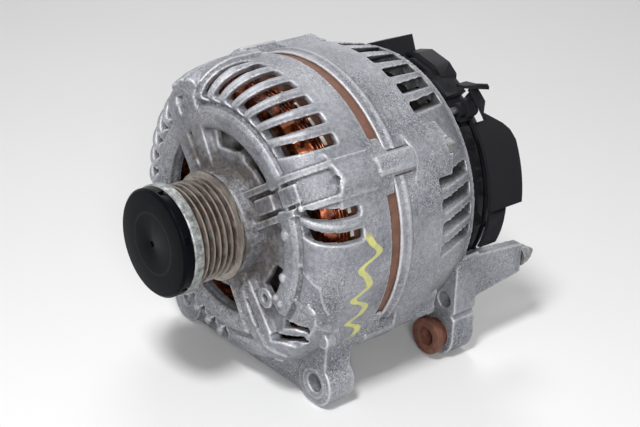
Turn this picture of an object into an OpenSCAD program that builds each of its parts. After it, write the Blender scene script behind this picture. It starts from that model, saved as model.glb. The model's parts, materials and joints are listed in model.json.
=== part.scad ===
// Car alternator with an overrunning belt pulley.
// The shaft lies along +Y, from the pulley (front, low y) to the plastic cover (rear).
// The origin is on the shaft's axis, in the middle of the belt grooves. +Z is up.
// Angles go round the shaft from +X towards +Z. Lengths are in millimetres.

/* [Belt pulley] */
// Number of belt grooves
groove_count = 6; // [4:1:7]
// Distance from one groove to the next
groove_pitch = 3.56; // [3.3:0.02:3.7]
// Depth of a groove
groove_depth = 2.6; // [2:0.1:3]
// Radius of the crests between the grooves
crest_r = 25.8; // [25:0.1:27]
// Radius of the pulley's rims
rim_r = 28.4; // [27.5:0.1:29.5]
// Length of the plain band in front of the grooves
front_band = 5.9; // [5:0.1:7]
// Thickness of the rim behind the grooves
rear_rim = 2.3; // [1.8:0.1:2.6]
// Thickness of the black cap
cap_t = 6; // [5:0.25:7]
// Radius of the hole for the clutch
clutch_bore_r = 18.2; // [17.8:0.1:18.8]
// Radius of a clutch roller
roller_r = 1.6; // [1.4:0.1:1.7]
// Number of clutch rollers
roller_count = 20; // [14:1:22]

/* [Shaft and bearings] */
// Radius of the shaft's threaded front end
shaft_front_r = 8; // [7.5:0.1:8.3]
// Radius of the shaft in the front bearing
front_seat_r = 8.5; // [8.4:0.05:8.9]
// Radius of the shaft inside the rotor
shaft_core_r = 9.5; // [9.2:0.1:10.2]
// Radius of the shaft in the rear bearing
rear_seat_r = 7.5; // [7:0.1:8]
// Radius of the shaft under the slip rings
shaft_tail_r = 5.5; // [5:0.1:6]
// Outer radius of the front bearing
front_bearing_r = 23.5; // [22.5:0.1:24]
// Width of the front bearing
front_bearing_w = 14; // [13:0.25:15]
// Radius of a front bearing ball
front_ball_r = 4.4; // [4:0.1:4.6]
// Outer radius of the rear bearing
rear_bearing_r = 17.5; // [17:0.1:18]
// Width of the rear bearing
rear_bearing_w = 10; // [9:0.25:11]
// Radius of a rear bearing ball
rear_ball_r = 3; // [2.8:0.1:3.2]
// Number of balls in each bearing
ball_count = 8; // [6:1:9]
// Thickness of the plastic sleeve round the rear bearing
bearing_sleeve_t = 1.2; // [1:0.1:1.5]

/* [Housings] */
// Outer radius of both housings
body_r = 78; // [76:0.5:80]
// Thickness of the cast walls
wall = 3.5; // [3:0.1:4]
// Thickness of the housing lips round the stator core
lip = 1.6; // [1.4:0.1:2]
// How far the arms stand proud of the front housing
arm_proud = 2.4; // [1.6:0.1:3]
// Radius of the nose round the front bearing
nose_r = 27.6; // [27:0.1:28.4]
// Where the nose begins
nose_y = 13.6; // [13.2:0.1:14.2]
// Where the arms and the ring rib begin
face_y = 19.4; // [18.8:0.1:20]
// Depth of the windows' web behind that face
web_step = 4.6; // [3.5:0.1:5.5]
// Inner radius of the ring rib
ring_rib_in_r = 48.5; // [47:0.1:50]
// Outer radius of the ring rib
ring_rib_out_r = 59.5; // [58.5:0.1:60.5]
// Where the rounded shoulder reaches the full radius
shoulder_y = 43; // [41:0.5:45]
// Rear edge of the front housing
front_lip_y = 64.6; // [63:0.1:66]
// Front edge of the rear housing
rear_lip_y = 70.6; // [69:0.1:72]
// Where the rear housing begins to taper
taper_y = 98; // [96:0.5:100]
// Rear face of the rear housing's machined ring
ring_y = 128.4; // [127:0.2:130]
// Outer radius of the machined ring
ring_out_r = 71.2; // [70:0.1:72]
// Inner radius of the machined ring
ring_in_r = 66; // [65:0.1:67]
// Width of a cooling slot in the front housing
slot_w = 5.6; // [4.5:0.1:6]
// Width of a cooling slot in the rear housing
rear_slot_w = 5.4; // [4.5:0.1:6]
// Angle from one cooling slot to the next
slot_pitch = 9; // [8.6:0.1:9]

/* [Through bolts] */
// Radius of a bolt's shank
bolt_r = 2.5; // [2.3:0.1:2.8]
// How far the bolts' circle lies outside the housings' radius
bolt_out = 1.4; // [1.2:0.05:2]
// Radius of the boss round a bolt
bolt_boss_r = 5.6; // [5.4:0.1:6.2]
// Radius of a bolt head
bolt_head_r = 4.3; // [4:0.1:4.5]
// Height of a bolt head
bolt_head_h = 5; // [4:0.25:6]

/* [Mounting lugs] */
// Half the distance between the two front lugs
lug_x = 56; // [54:0.5:58]
// Depth of the lugs below the shaft
lug_drop = 73.4; // [71:0.2:76]
// Radius of a lug
lug_r = 12.5; // [12:0.1:13]
// Radius of the bolt hole in the right lugs
mount_bore_r = 5.1; // [5:0.05:5.3]
// Radius of the tapped hole in the left lug
tapped_r = 3.4; // [3.3:0.05:4]
// Front face of the front lugs
lug_front_y = 35.4; // [34:0.2:37]
// Thickness of the front lugs
lug_t = 17; // [15:0.5:19]
// Front face of the rear lug
rear_lug_y = 121.4; // [120:0.2:122]
// Thickness of the rear lug
rear_lug_t = 16; // [14:0.5:18]
// Outer radius of the rear lug's bush
bush_r = 8.2; // [7.8:0.1:8.8]
// Outer radius of the bush's collar
collar_r = 10.4; // [9.8:0.1:11]
// How far the bush stands forward of its lug
bush_proud = 8; // [6:0.5:10]
// How far the bush can slide back when it is clamped
bush_travel = 3; // [2:0.25:4]
// Length of the harness arm behind the rear lug
arm_len = 34; // [28:1:38]
// Thickness of the harness arm
arm_t = 7; // [6:0.25:8]

/* [Stator] */
// Length of the stator core
core_len = 36; // [34:1:38]
// From the housings' outer radius in to the stator's bore
stator_build = 24.6; // [24:0.1:25]
// Number of stator slots
stator_slots = 36; // [24:12:48]
// Depth of a stator slot
slot_depth = 13.6; // [12.6:0.1:14.4]
// Width of a stator slot
stator_slot_w = 5; // [4.4:0.1:5.4]
// Thickness of the paper in a stator slot
paper_t = 0.5; // [0.4:0.05:0.6]
// How far the winding stands out in front of and behind the core
winding_out = 18; // [15:0.5:19]
// Thickness of the winding's ends
winding_build = 13.5; // [12:0.1:14]

/* [Rotor] */
// Gap between the rotor and the stator
air_gap = 0.5; // [0.4:0.05:0.8]
// Number of claws on each pole piece
claw_count = 6; // [5:1:7]
// Thickness of a pole piece's plate
pole_plate_t = 11; // [10:0.5:12]
// Thickness of a claw
claw_t = 9; // [8:0.5:10]
// Radius of the iron core inside the coil
yoke_r = 26; // [24:0.5:28]
// Gap between the field coil and the claws
coil_gap = 4.4; // [3.4:0.1:6]
// Number of blades on a fan
fan_blades = 11; // [9:1:13]
// How much smaller the fans' radius is than the rotor's
fan_inset = 2.9; // [1.4:0.1:5]
// Depth of the front fan's blades
front_fan_h = 8; // [6:0.5:9]
// Depth of the rear fan's blades
rear_fan_h = 9; // [7:0.5:10]

/* [Brushes and slip rings] */
// Radius of the slip rings
slip_ring_r = 8; // [7.6:0.1:8.4]
// Width of a slip ring
slip_ring_w = 5; // [4.5:0.1:5.5]
// Distance between the middles of the slip rings
slip_ring_gap = 8; // [7.5:0.1:8.5]
// Width of a brush along the shaft
brush_w = 4.4; // [4:0.1:4.6]
// Width of a brush across the shaft
brush_d = 6; // [5:0.25:7]
// Length of a new brush
brush_len = 14; // [11:0.5:16]
// How far a brush can be pushed back into its holder
brush_travel = 3; // [2:0.25:4]
// Length of a brush spring pressed flat
spring_flat = 11; // [10:0.5:13]

/* [Rear electrics and cover] */
// Thickness of the rectifier's plates
plate_t = 3; // [2.5:0.25:3.5]
// Radius of a diode
diode_r = 6.35; // [6:0.05:6.5]
// How far the rectifier's plates lie inside the machined ring's bore
plate_inset = 5; // [4.8:0.1:6]
// How far the cover's body lies inside the machined ring's bore
cover_inset = 1.4; // [0.8:0.1:1.8]
// Thickness of the cover's wall
cover_t = 2.2; // [1.8:0.1:2.4]
// How far the cover reaches behind the machined ring
cover_depth = 23.1; // [22.4:0.1:25]
// Outer radius of the shield on the cover's right side
shield_r = 75; // [74:0.25:76]
// How far the shield reaches behind the cover
shield_out = 8.5; // [6:0.5:10]
// Radius of the output stud
stud_r = 4; // [3.5:0.1:4]
// How far the output stud stands behind the cover
stud_out = 17; // [15:0.5:19]

/* [Hidden] */
$fn = 64;

// Clearances
press_gap = 0.02;                       // between pressed or screwed pieces of one body
run_gap = 0.05;                         // between pieces that turn or slide in each other
body_gap = 0.3;                         // between pieces of different bodies that never touch
far = 120;                              // past the outside of the part

// Stations along the shaft
groove_half = groove_count * groove_pitch / 2;
ring_front_y = -groove_half - front_band;
ring_rear_y = groove_half + rear_rim;
cap_y = ring_front_y - cap_t;
nose_lip = 2.8;
front_bearing_y = nose_y + nose_lip;
front_bearing_end = front_bearing_y + front_bearing_w;
retainer_t = 1.8;
core_mid_y = (front_lip_y + rear_lip_y) / 2;
core_y = core_mid_y - core_len / 2;
core_end = core_y + core_len;
yoke_len = core_len - 8;
pole_front_y = core_mid_y - yoke_len / 2 - pole_plate_t;
pole_rear_y = core_mid_y + yoke_len / 2 + pole_plate_t;
fan_disc_t = 1.6;
cover_y = ring_y + cover_depth;
shield_end_y = cover_y + shield_out;
rear_bearing_y = ring_y - 17;
rear_bearing_end = rear_bearing_y + rear_bearing_w;
end_wall_y = ring_y - 11.4;
end_wall_t = 4;
end_wall_end = end_wall_y + end_wall_t;
slip_front_y = ring_y + 6.5;
slip_rear_y = slip_front_y + slip_ring_gap;
shaft_end_y = slip_rear_y + slip_ring_w / 2 + 2;

// Radii
stack_r = body_r - lip - press_gap;
seat_r = body_r - lip;
bolt_circle_r = body_r + bolt_out;
stator_bore_r = body_r - stator_build;
slot_out_r = stator_bore_r + slot_depth;
winding_out_r = slot_out_r + 3;
winding_in_r = winding_out_r - winding_build;
rotor_r = stator_bore_r - air_gap;
coil_r = rotor_r - claw_t - coil_gap;
fan_r = rotor_r - fan_inset;
cover_r = ring_in_r - cover_inset;
plate_out_r = ring_in_r - plate_inset;
hub_r = clutch_bore_r - 2 * roller_r - 2 * run_gap;
web_y = face_y + web_step;
shoulder_r = 64;                        // where the rounded shoulder leaves the front face
shoulder_front_y = face_y + 1.8;

// Angles round the shaft
bolt_angles = [32, 121, 213, 319.5];
bolt_joint_y = [84, 84, 84, 80];        // where each pair of bosses meets
bolt_boss_y = [36, 56, 56, 42];         // front end of each front boss
bolt_depth = 2;                         // how deep the bolts' tips lie in the front bosses
bolt_seat_y = 106;
arm_stud_r = 3;
thread_depth = 0.4;                     // from a thread's crests to the radius that its nut is drawn at
retainer_pad_r = 6;
boss_foot = 14;
finger_half = 6.2;
finger_y = 60;
hump_over = 5;                          // how far a front hump reaches over the core
stud_angle = 200;
lead_angles = [24, 60, 142];
regulator_angle = 90;
diode_angles = [12, 172, 228, 262, 296, 330];

// ---------------------------------------------------------------- shared shapes

// Turns a profile drawn as radius and y round the shaft
module turned() rotate([-90, 0, 0]) rotate_extrude() children();

// The same, from angle a0 to angle a1 only
module turned_part(a0, a1)
    rotate([0, -a1, 0]) rotate([-90, 0, 0]) rotate_extrude(angle = a1 - a0) children();

// Extrudes an outline drawn in x and z from y0 to y1
module slab(y0, y1) translate([0, y1, 0]) rotate([90, 0, 0]) linear_extrude(y1 - y0) children();

// Puts +X at angle a round the shaft
module around(a) rotate([0, -a, 0]) children();

// A round bar along the shaft's direction
module rod(r, y0, y1) translate([0, y0, 0]) rotate([-90, 0, 0]) cylinder(r = r, h = y1 - y0);

// A ring along the shaft's direction
module tube(r_out, r_in, y0, y1)
    difference() {
        rod(r_out, y0, y1);
        rod(r_in, y0 - 1, y1 + 1);
    }

// A hexagonal bar along the shaft's direction
module hex_bar(r, y0, y1)
    translate([0, y0, 0]) rotate([-90, 0, 0]) cylinder(r = r, h = y1 - y0, $fn = 6);

// A box from its lowest to its highest corner
module block(low, high) translate(low) cube(high - low);

// A flat strip of one width along a path, with round joints and ends
module strip(path, w)
    for (i = [0 : len(path) - 2]) {
        a = path[i];
        b = path[i + 1];
        d = b - a;
        translate(a) rotate(atan2(d[1], d[0])) translate([0, -w / 2]) square([norm(d), w]);
        translate(a) circle(w / 2 - 0.06);
        translate(b) circle(w / 2 - 0.06);
    }

function polar(r, a) = [r * cos(a), r * sin(a)];

// A cooling slot's outline: its inner end lies further round than its outer end
module slot_outline(a, w, r_in, sweep) {
    inner = polar(r_in, a + sweep);
    outer = polar(body_r, a);
    d = (outer - inner) / norm(outer - inner);
    side = [-d[1], d[0]] * w / 2;
    tip = outer + d * 20;
    polygon([inner + side, inner - side, tip - side, tip + side]);
}

// ---------------------------------------------------------------- belt pulley

module pulley_ring()
    color([0.55, 0.5, 0.45]) turned() {
        bottom = crest_r - groove_depth;
        flat = groove_pitch * 0.12;
        polygon(concat(
            [[clutch_bore_r, ring_front_y], [rim_r - 0.6, ring_front_y],
             [rim_r, ring_front_y + 0.6], [rim_r, -groove_half - 0.9], [crest_r, -groove_half]],
            [for (i = [0 : groove_count - 1])
                let (y = -groove_half + i * groove_pitch)
                each [[crest_r, y + flat], [bottom, y + groove_pitch / 2 - flat],
                      [bottom, y + groove_pitch / 2 + flat], [crest_r, y + groove_pitch - flat]]],
            [[crest_r, groove_half], [rim_r, groove_half + 0.7], [rim_r, ring_rear_y],
             [clutch_bore_r, ring_rear_y]]));
    }

module pulley_cap() {
    cap_r = rim_r - 0.6;
    plug = 3;                           // depth of the cap's spigot in the ring
    color([0.05, 0.05, 0.06]) difference() {
        union() {
            turned() polygon([[0, cap_y], [cap_r - 1.2, cap_y], [cap_r, cap_y + 1.2],
                [cap_r, ring_front_y], [clutch_bore_r - press_gap, ring_front_y],
                [clutch_bore_r - press_gap, ring_front_y + plug], [clutch_bore_r - 2, ring_front_y + plug],
                [clutch_bore_r - 2, ring_front_y - cap_t / 2], [0, ring_front_y - cap_t / 2]]);
        }
        rod(1.6, cap_y - 1, cap_y + 1.2);
        for (a = [22 : 60 : 322])
            around(a) block([cap_r - 1.1, cap_y + 2.2, -1.6], [cap_r + 1, ring_front_y + 0.1, 1.6]);
    }
}

module pulley_hub() {
    neck_r = 12;
    color([0.6, 0.6, 0.62]) turned() polygon([
        [shaft_front_r + press_gap, ring_front_y + 4.4], [hub_r, ring_front_y + 4.4],
        [hub_r, ring_rear_y - 1.5], [neck_r, ring_rear_y + 0.4],
        [neck_r, front_bearing_y], [shaft_front_r + press_gap, front_bearing_y]]);
}

module clutch_rollers() {
    y0 = ring_front_y + 6;
    y1 = ring_rear_y - 3;
    color([0.7, 0.7, 0.72]) for (i = [0 : roller_count - 1])
        around(i * 360 / roller_count)
            translate([hub_r + run_gap + roller_r, 0, 0]) rod(roller_r, y0, y1);
}

// ---------------------------------------------------------------- shaft and bearings

module rotor_shaft()
    color([0.65, 0.65, 0.67]) difference() {
        turned() polygon([
            [0, ring_front_y + 3.4], [shaft_front_r - 1, ring_front_y + 3.4],
            [shaft_front_r, ring_front_y + 4.4], [shaft_front_r, front_bearing_y],
            [front_seat_r, front_bearing_y], [front_seat_r, front_bearing_end],
            [shaft_core_r, front_bearing_end], [shaft_core_r, rear_bearing_y],
            [rear_seat_r, rear_bearing_y], [rear_seat_r, rear_bearing_end + 1],
            [shaft_tail_r, rear_bearing_end + 1], [shaft_tail_r, shaft_end_y - 0.6],
            [shaft_tail_r - 0.6, shaft_end_y], [0, shaft_end_y]]);
        hex_bar(4.6, ring_front_y + 3, ring_front_y + 14);
    }

// A ball bearing's races meet its balls in round grooves
module outer_race(r_out, r_in, y0, w, ring_r, ball_r)
    turned() difference() {
        translate([r_in, y0]) square([r_out - r_in, w]);
        translate([ring_r, y0 + w / 2]) circle(ball_r + run_gap);
    }

module race_balls(y, ring_r, ball_r)
    for (i = [0 : ball_count - 1])
        around(i * 360 / ball_count) translate([ring_r, y, 0]) sphere(ball_r, $fn = 32);

front_ball_ring = (front_bearing_r + front_seat_r) / 2;
rear_ball_ring = (rear_bearing_r + rear_seat_r) / 2;
race_share = 0.62;                      // how far a ball's radius leaves each race clear

module front_bearing_outer()
    color([0.72, 0.72, 0.74]) outer_race(front_bearing_r, front_ball_ring + race_share * front_ball_r,
        front_bearing_y, front_bearing_w, front_ball_ring, front_ball_r);

module front_bearing_inner()
    color([0.72, 0.72, 0.74]) turned() difference() {
        translate([front_seat_r + press_gap, front_bearing_y])
            square([front_ball_ring - race_share * front_ball_r - front_seat_r - press_gap, front_bearing_w]);
        translate([front_ball_ring, front_bearing_y + front_bearing_w / 2])
            circle(front_ball_r + run_gap);
    }

module front_bearing_balls()
    color([0.75, 0.75, 0.77]) race_balls(front_bearing_y + front_bearing_w / 2, front_ball_ring, front_ball_r);

module rear_bearing_outer()
    color([0.72, 0.72, 0.74]) outer_race(rear_bearing_r, rear_ball_ring + race_share * rear_ball_r,
        rear_bearing_y, rear_bearing_w, rear_ball_ring, rear_ball_r);

module rear_bearing_inner()
    color([0.72, 0.72, 0.74]) turned() difference() {
        translate([rear_seat_r + press_gap, rear_bearing_y])
            square([rear_ball_ring - race_share * rear_ball_r - rear_seat_r - press_gap, rear_bearing_w]);
        translate([rear_ball_ring, rear_bearing_y + rear_bearing_w / 2]) circle(rear_ball_r + run_gap);
    }

module rear_bearing_balls()
    color([0.75, 0.75, 0.77]) race_balls(rear_bearing_y + rear_bearing_w / 2, rear_ball_ring, rear_ball_r);

sleeve_out_r = rear_bearing_r + press_gap + bearing_sleeve_t;

module rear_bearing_sleeve()
    color([0.1, 0.1, 0.1])
        tube(sleeve_out_r, rear_bearing_r + press_gap, rear_bearing_y, rear_bearing_end);

// The retainer's four ears take the screws that come through the front face
retainer_in_r = front_ball_ring + race_share * front_ball_r;
retainer_screw_r = 2.2;
retainer_circle_r = 34;
retainer_angles = [-12, 78, 168, 258];

module bearing_retainer()
    color([0.75, 0.68, 0.4]) difference() {
        slab(front_bearing_end, front_bearing_end + retainer_t) difference() {
            union() {
                circle(front_bearing_r + 5);
                for (a = retainer_angles) strip([[0, 0], polar(retainer_circle_r, a)], 13);
            }
            circle(retainer_in_r);
            for (a = retainer_angles) translate(polar(retainer_circle_r, a)) circle(retainer_screw_r + 0.1);
        }
    }

retainer_head_h = 1.5;

module retainer_screws()
    color([0.7, 0.7, 0.7]) for (a = retainer_angles) around(a) translate([retainer_circle_r, 0, 0]) {
        rod(retainer_screw_r, web_y + 2, front_bearing_end + retainer_t + 0.1);
        rod(4, front_bearing_end + retainer_t + press_gap, front_bearing_end + retainer_t + retainer_head_h);
    }

// ---------------------------------------------------------------- front housing

// Outer profile of the front housing, pushed outwards by the given amount
function shoulder(grow) = [for (t = [0 : 7.5 : 90])
    [shoulder_r + (body_r - shoulder_r + grow) * sin(t),
     shoulder_y - (shoulder_y - shoulder_front_y + grow) * cos(t)]];

module front_shell()
    turned() polygon(concat(
        [[0, nose_y], [nose_r - 1.2, nose_y], [nose_r, nose_y + 1.2], [nose_r + 1.5, web_y],
         [ring_rib_out_r + 1, web_y], [shoulder_r - 1.2, shoulder_front_y + 0.4]],
        shoulder(0), [[body_r, front_lip_y], [0, front_lip_y]]));

// The rib that runs round the face, from angle a0 to angle a1
module ring_rib(a0, a1)
    turned_part(a0, a1) polygon([[ring_rib_in_r, web_y + 1], [ring_rib_in_r, face_y + 1.2],
        [ring_rib_in_r + 2, face_y], [ring_rib_out_r - 2, face_y], [ring_rib_out_r, face_y + 1.6],
        [ring_rib_out_r + 0.6, web_y + 1]]);

// What the arms may fill: the shell, raised by arm_proud past the ring rib
module arm_room()
    turned() polygon(concat([[nose_r - 3, face_y], [shoulder_r, face_y - 0.2]], shoulder(arm_proud),
        [[body_r + arm_proud, front_lip_y - 6], [nose_r - 3, front_lip_y - 6]]));

module front_cavity() {
    inner_web = web_y + wall;
    hub_back = front_bearing_end;
    turned() polygon(concat(
        [[nose_r - 0.6, inner_web], [shoulder_r - 2, inner_web]],
        [for (t = [15 : 7.5 : 90])
            [shoulder_r + (body_r - shoulder_r - wall) * sin(t),
             shoulder_y - (shoulder_y - shoulder_front_y - wall) * cos(t)]],
        [[body_r - wall, core_y], [nose_r - 0.6, core_y]]));
    rod(nose_r, hub_back, core_y);
    rod(seat_r, core_y, front_lip_y + 1);
    rod(front_bearing_r + press_gap, front_bearing_y, hub_back + 1);
    rod(front_ball_ring + 1.5, nose_y - 1, front_bearing_y + 1);
}

// Middle lines of the arms' ridges, seen from the front
arm_one_left = [[-19, 15], [-36.9, 40.6], [-43.3, 52.5], [-44.4, 66]];
arm_one_right = [[-10, 22], [-22.6, 45], [-27.2, 55.5], [-27.9, 62.4], [-24, 76]];
arm_three_low = [[5, -20], [10.2, -29], [23.6, -48.9], [42, -59.2], [60, -60]];
arm_three_high = [[16, -22], [22.7, -30.3], [38.5, -49.7], [52.3, -51.4]];
ridge_w = 10;
arm_two_half = 8.2;                     // from the middle of the second arm to each of its ridges
arm_two_ridge = 3.6;

// The raised arms between the nose and the rim, as outlines seen from the front
module arm_outlines() {
    strip(arm_one_left, ridge_w);
    strip(arm_one_right, ridge_w);
    for (s = [-1, 1]) rotate(bolt_angles[0])
        translate([nose_r - 4, s * arm_two_half - arm_two_ridge / 2])
            square([body_r - nose_r + 8, arm_two_ridge]);
    // raised pads between the second arm's ridges
    rotate(bolt_angles[0]) {
        translate([33, -4]) square([15, 8]);
        translate([55, -4.6]) square([14, 9.2]);
    }
    strip(arm_three_low, ridge_w - 2);
    strip(arm_three_high, ridge_w - 3);
    strip([polar(24, 213), polar(body_r, 213)], 2 * ridge_w);
    translate(face_boss) circle(5.4);
}

// A bolt's boss: a broad hump along the housing whose front end slopes up from the shoulder
module bolt_hump(a, y0, y1, foot, slope = 0) {
    sag = foot * foot / 2 / body_r;
    top = bolt_circle_r + bolt_r + 1.2;
    intersection() {
        slab(y0, y1) rotate(a) polygon([[body_r - wall, -foot], [body_r - sag, -foot],
            [body_r + 0.4, -foot * 0.76], [body_r + 2.6, -foot * 0.5], [top - 0.8, -foot * 0.3],
            [top, -foot * 0.14], [top, foot * 0.14], [top - 0.8, foot * 0.3],
            [body_r + 2.6, foot * 0.5], [body_r + 0.4, foot * 0.76],
            [body_r - sag, foot], [body_r - wall, foot]]);
        turned() polygon([[0, y0 - 1], [bolt_circle_r + bolt_r, y0 - 1], [bolt_circle_r + bolt_r, y0],
            [body_r + 12, y0 + slope], [body_r + 12, y1 + 1], [0, y1 + 1]]);
    }
}

// The bar that carries a front boss over the core to the rear housing
module bolt_finger(a, y0, y1) {
    top = bolt_circle_r + bolt_boss_r - 1;
    slab(y0, y1) rotate(a) polygon([[body_r - wall, -finger_half], [body_r + 0.6, -finger_half],
        [top - 1, -finger_half + 1.2], [top, -finger_half + 3.2], [top, finger_half - 3.2],
        [top - 1, finger_half - 1.2], [body_r + 0.6, finger_half], [body_r - wall, finger_half]]);
}

// One front lug, with its neck up to the housing
module lug_outline(x, turn, w) {
    centre = [x, -lug_drop];
    strip([centre, polar(body_r - 10, atan2(-lug_drop, x) + turn)], w);
    translate(centre) circle(lug_r);
}

// The flat face between the third arm and the right lug
module apron_outline()
    polygon([[14, -34], [27, -54], [46, -62], [lug_x + 2, -62], [lug_x + 10, -50], [lug_x + 14, -38],
        [67, -24], [61, -10], [50, -8], [30, -16]]);

// The web that joins the two front lugs under the housing
module lug_web_outline()
    polygon([[-lug_x - 6, -lug_drop + 9], [-lug_x + 6, -lug_drop - lug_r + 2], [lug_x - 6, -lug_drop - lug_r + 2],
        [lug_x + 4, -lug_drop + 9], [40, -62], [-40, -62]]);

neck_disc_r = 4.2;                      // a small disc on the right lug's neck
neck_disc_angle = -32.5;
neck_disc_y = 30.6;

front_slot_angles = concat(
    [for (i = [0 : 6]) 46.2 + i * slot_pitch], [10.7, 19.7],
    [for (i = [0 : 7]) 134 + i * slot_pitch], [for (i = [0 : 4]) 228 + i * slot_pitch]);
slot_end_y = shoulder_y + 4;
// The two short slots beside the right lug, as paths seen from the front
low_slots = [[[47, -39], [55.5, -35.8], [62.5, -36.8]], [[41.5, -47.8], [50.5, -45.2], [60.2, -43]]];
low_slot_w = 3.4;
face_boss = [35.4, -28.4];              // a tapped boss on the face

module front_housing()
    color([0.62, 0.62, 0.64]) difference() {
        union() {
            difference() {
                union() {
                    front_shell();
                    ring_rib(38, 128);
                    ring_rib(130, 206);
                    ring_rib(220, 290);
                    ring_rib(-34, 26);
                    intersection() {
                        union() {
                            slab(nose_y, front_lip_y) arm_outlines();
                            slab(web_y + 1, lug_front_y + 4) apron_outline();
                        }
                        arm_room();
                    }
                }
                for (a = front_slot_angles)
                    slab(face_y - 5, slot_end_y) slot_outline(a, slot_w, ring_rib_out_r + 3.6, 6);
                for (path = low_slots) slab(face_y - 5, lug_front_y + 4) strip(path, low_slot_w);
                translate([face_boss[0], 0, face_boss[1]]) rod(2.2, nose_y, face_y + 4);
                // windows inside the ring rib
                for (w = [[44, 104], [148, 200], [228, 280], [320, 346]])
                    turned_part(w[0], w[1])
                        translate([38, web_y - 3]) square([ring_rib_in_r - 38.6, 12]);
            }
            for (i = [0 : 3]) {
                bolt_hump(bolt_angles[i], bolt_boss_y[i], front_lip_y + hump_over, boss_foot, 16);
                bolt_finger(bolt_angles[i], finger_y, bolt_joint_y[i]);
            }
            slab(lug_front_y, lug_front_y + lug_t) {
                lug_outline(lug_x, 22, 15);
                lug_outline(-lug_x, -14, 15);
            }
            slab(lug_front_y + 2, lug_front_y + 11) lug_web_outline();
            around(neck_disc_angle) translate([bolt_circle_r, 0, 0])
                rod(neck_disc_r, neck_disc_y, lug_front_y + 1);
            for (a = retainer_angles) around(a) translate([retainer_circle_r, 0, 0])
                rod(retainer_pad_r, web_y + 0.6, front_bearing_end);
        }
        front_cavity_open();
        for (i = [0 : 3]) around(bolt_angles[i]) translate([bolt_circle_r, 0, 0])
            rod(bolt_r + press_gap, bolt_boss_y[i] - 1, bolt_joint_y[i] + 1);
        for (a = retainer_angles) around(a) translate([retainer_circle_r, 0, 0])
            rod(retainer_screw_r + press_gap, web_y + 1.6, front_bearing_end + 1);
        translate([lug_x, 0, -lug_drop]) rod(mount_bore_r, lug_front_y - 1, lug_front_y + lug_t + 1);
        translate([-lug_x, 0, -lug_drop]) rod(tapped_r, lug_front_y - 1, lug_front_y + lug_t + 1);
    }

// The room inside the front housing, which leaves the screw pads standing
module front_cavity_open()
    difference() {
        union() {
            front_cavity();
            rod(seat_r, core_y, 130);
        }
        for (a = retainer_angles) around(a) translate([retainer_circle_r, 0, 0])
            rod(retainer_pad_r, web_y, front_bearing_end);
    }

module through_bolts()
    color([0.5, 0.5, 0.52]) for (i = [0 : 3]) around(bolt_angles[i]) translate([bolt_circle_r, 0, 0]) {
        rod(bolt_r, bolt_boss_y[i] + bolt_depth, bolt_seat_y);
        hex_bar(bolt_head_r, bolt_seat_y, bolt_seat_y + bolt_head_h);
    }

// ---------------------------------------------------------------- stator

module stator_slot_shape(grow)
    translate([stator_bore_r - 6, -stator_slot_w / 2 - grow])
        square([slot_out_r - stator_bore_r + 6 + grow, stator_slot_w + 2 * grow]);

module stator_core()
    color([0.45, 0.22, 0.15]) slab(core_y, core_end) difference() {
        circle(stack_r, $fn = 128);
        circle(stator_bore_r, $fn = 128);
        for (i = [0 : stator_slots - 1]) rotate(i * 360 / stator_slots) intersection() {
            stator_slot_shape(0);
            translate([stator_bore_r - 6, -stator_slot_w / 2]) square([20, stator_slot_w]);
        }
    }

liner_out = 2;                          // how far the paper stands out of the core
wire_in_r = stator_bore_r + 2.6;

module stator_winding()
    color([0.45, 0.16, 0.1]) {
        half = stator_slot_w / 2 - paper_t - 2 * press_gap;
        out_r = slot_out_r - paper_t - 2 * press_gap;
        turned() polygon(end_turn_profile(core_y - liner_out - 0.4, -1));
        turned() polygon(end_turn_profile(core_end + liner_out + 0.4, 1));
        for (i = [0 : stator_slots - 1]) around(i * 360 / stator_slots)
            block([wire_in_r, core_y - liner_out - 1.4, -half], [out_r, core_end + liner_out + 1.4, half]);
    }

// Section of the bunched wires beyond one end of the core
function end_turn_profile(y, way) = [
    [winding_in_r, y], [winding_out_r - 2, y], [winding_out_r, y + way * 4],
    [winding_out_r, y + way * (winding_out - liner_out - 5)],
    [winding_out_r - 3.5, y + way * (winding_out - liner_out)],
    [winding_in_r + 3, y + way * (winding_out - liner_out)],
    [winding_in_r, y + way * (winding_out - liner_out - 4)]];

module slot_liners()
    color([0.85, 0.84, 0.78]) for (i = [0 : stator_slots - 1]) around(i * 360 / stator_slots)
        difference() {
            block([wire_in_r, core_y - liner_out, -stator_slot_w / 2 + press_gap],
                [slot_out_r - press_gap, core_end + liner_out, stator_slot_w / 2 - press_gap]);
            block([wire_in_r - 1, core_y - liner_out - 1, -stator_slot_w / 2 + press_gap + paper_t],
                [slot_out_r - press_gap - paper_t, core_end + liner_out + 1, stator_slot_w / 2 - press_gap - paper_t]);
        }

lead_r = 1.1;
lead_circle_r = plate_out_r - 1.4;

module stator_leads()
    color([0.7, 0.35, 0.2]) for (a = lead_angles) around(a) translate([lead_circle_r, 0, 0])
        rod(lead_r, core_end + winding_out + 0.4 + press_gap, terminal_y - press_gap);

// ---------------------------------------------------------------- rotor

module rotor_core()
    color([0.4, 0.4, 0.42])
        tube(yoke_r, shaft_core_r + press_gap, pole_front_y + pole_plate_t, pole_rear_y - pole_plate_t);

module field_coil()
    color([0.5, 0.2, 0.1]) turned() difference() {
        translate([yoke_r + press_gap, core_mid_y - yoke_len / 2 + 0.5])
            square([coil_r - yoke_r, yoke_len - 1]);
        for (s = [-1, 1]) translate([coil_r, core_mid_y + s * yoke_len / 2]) circle(1.5);
    }

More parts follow.
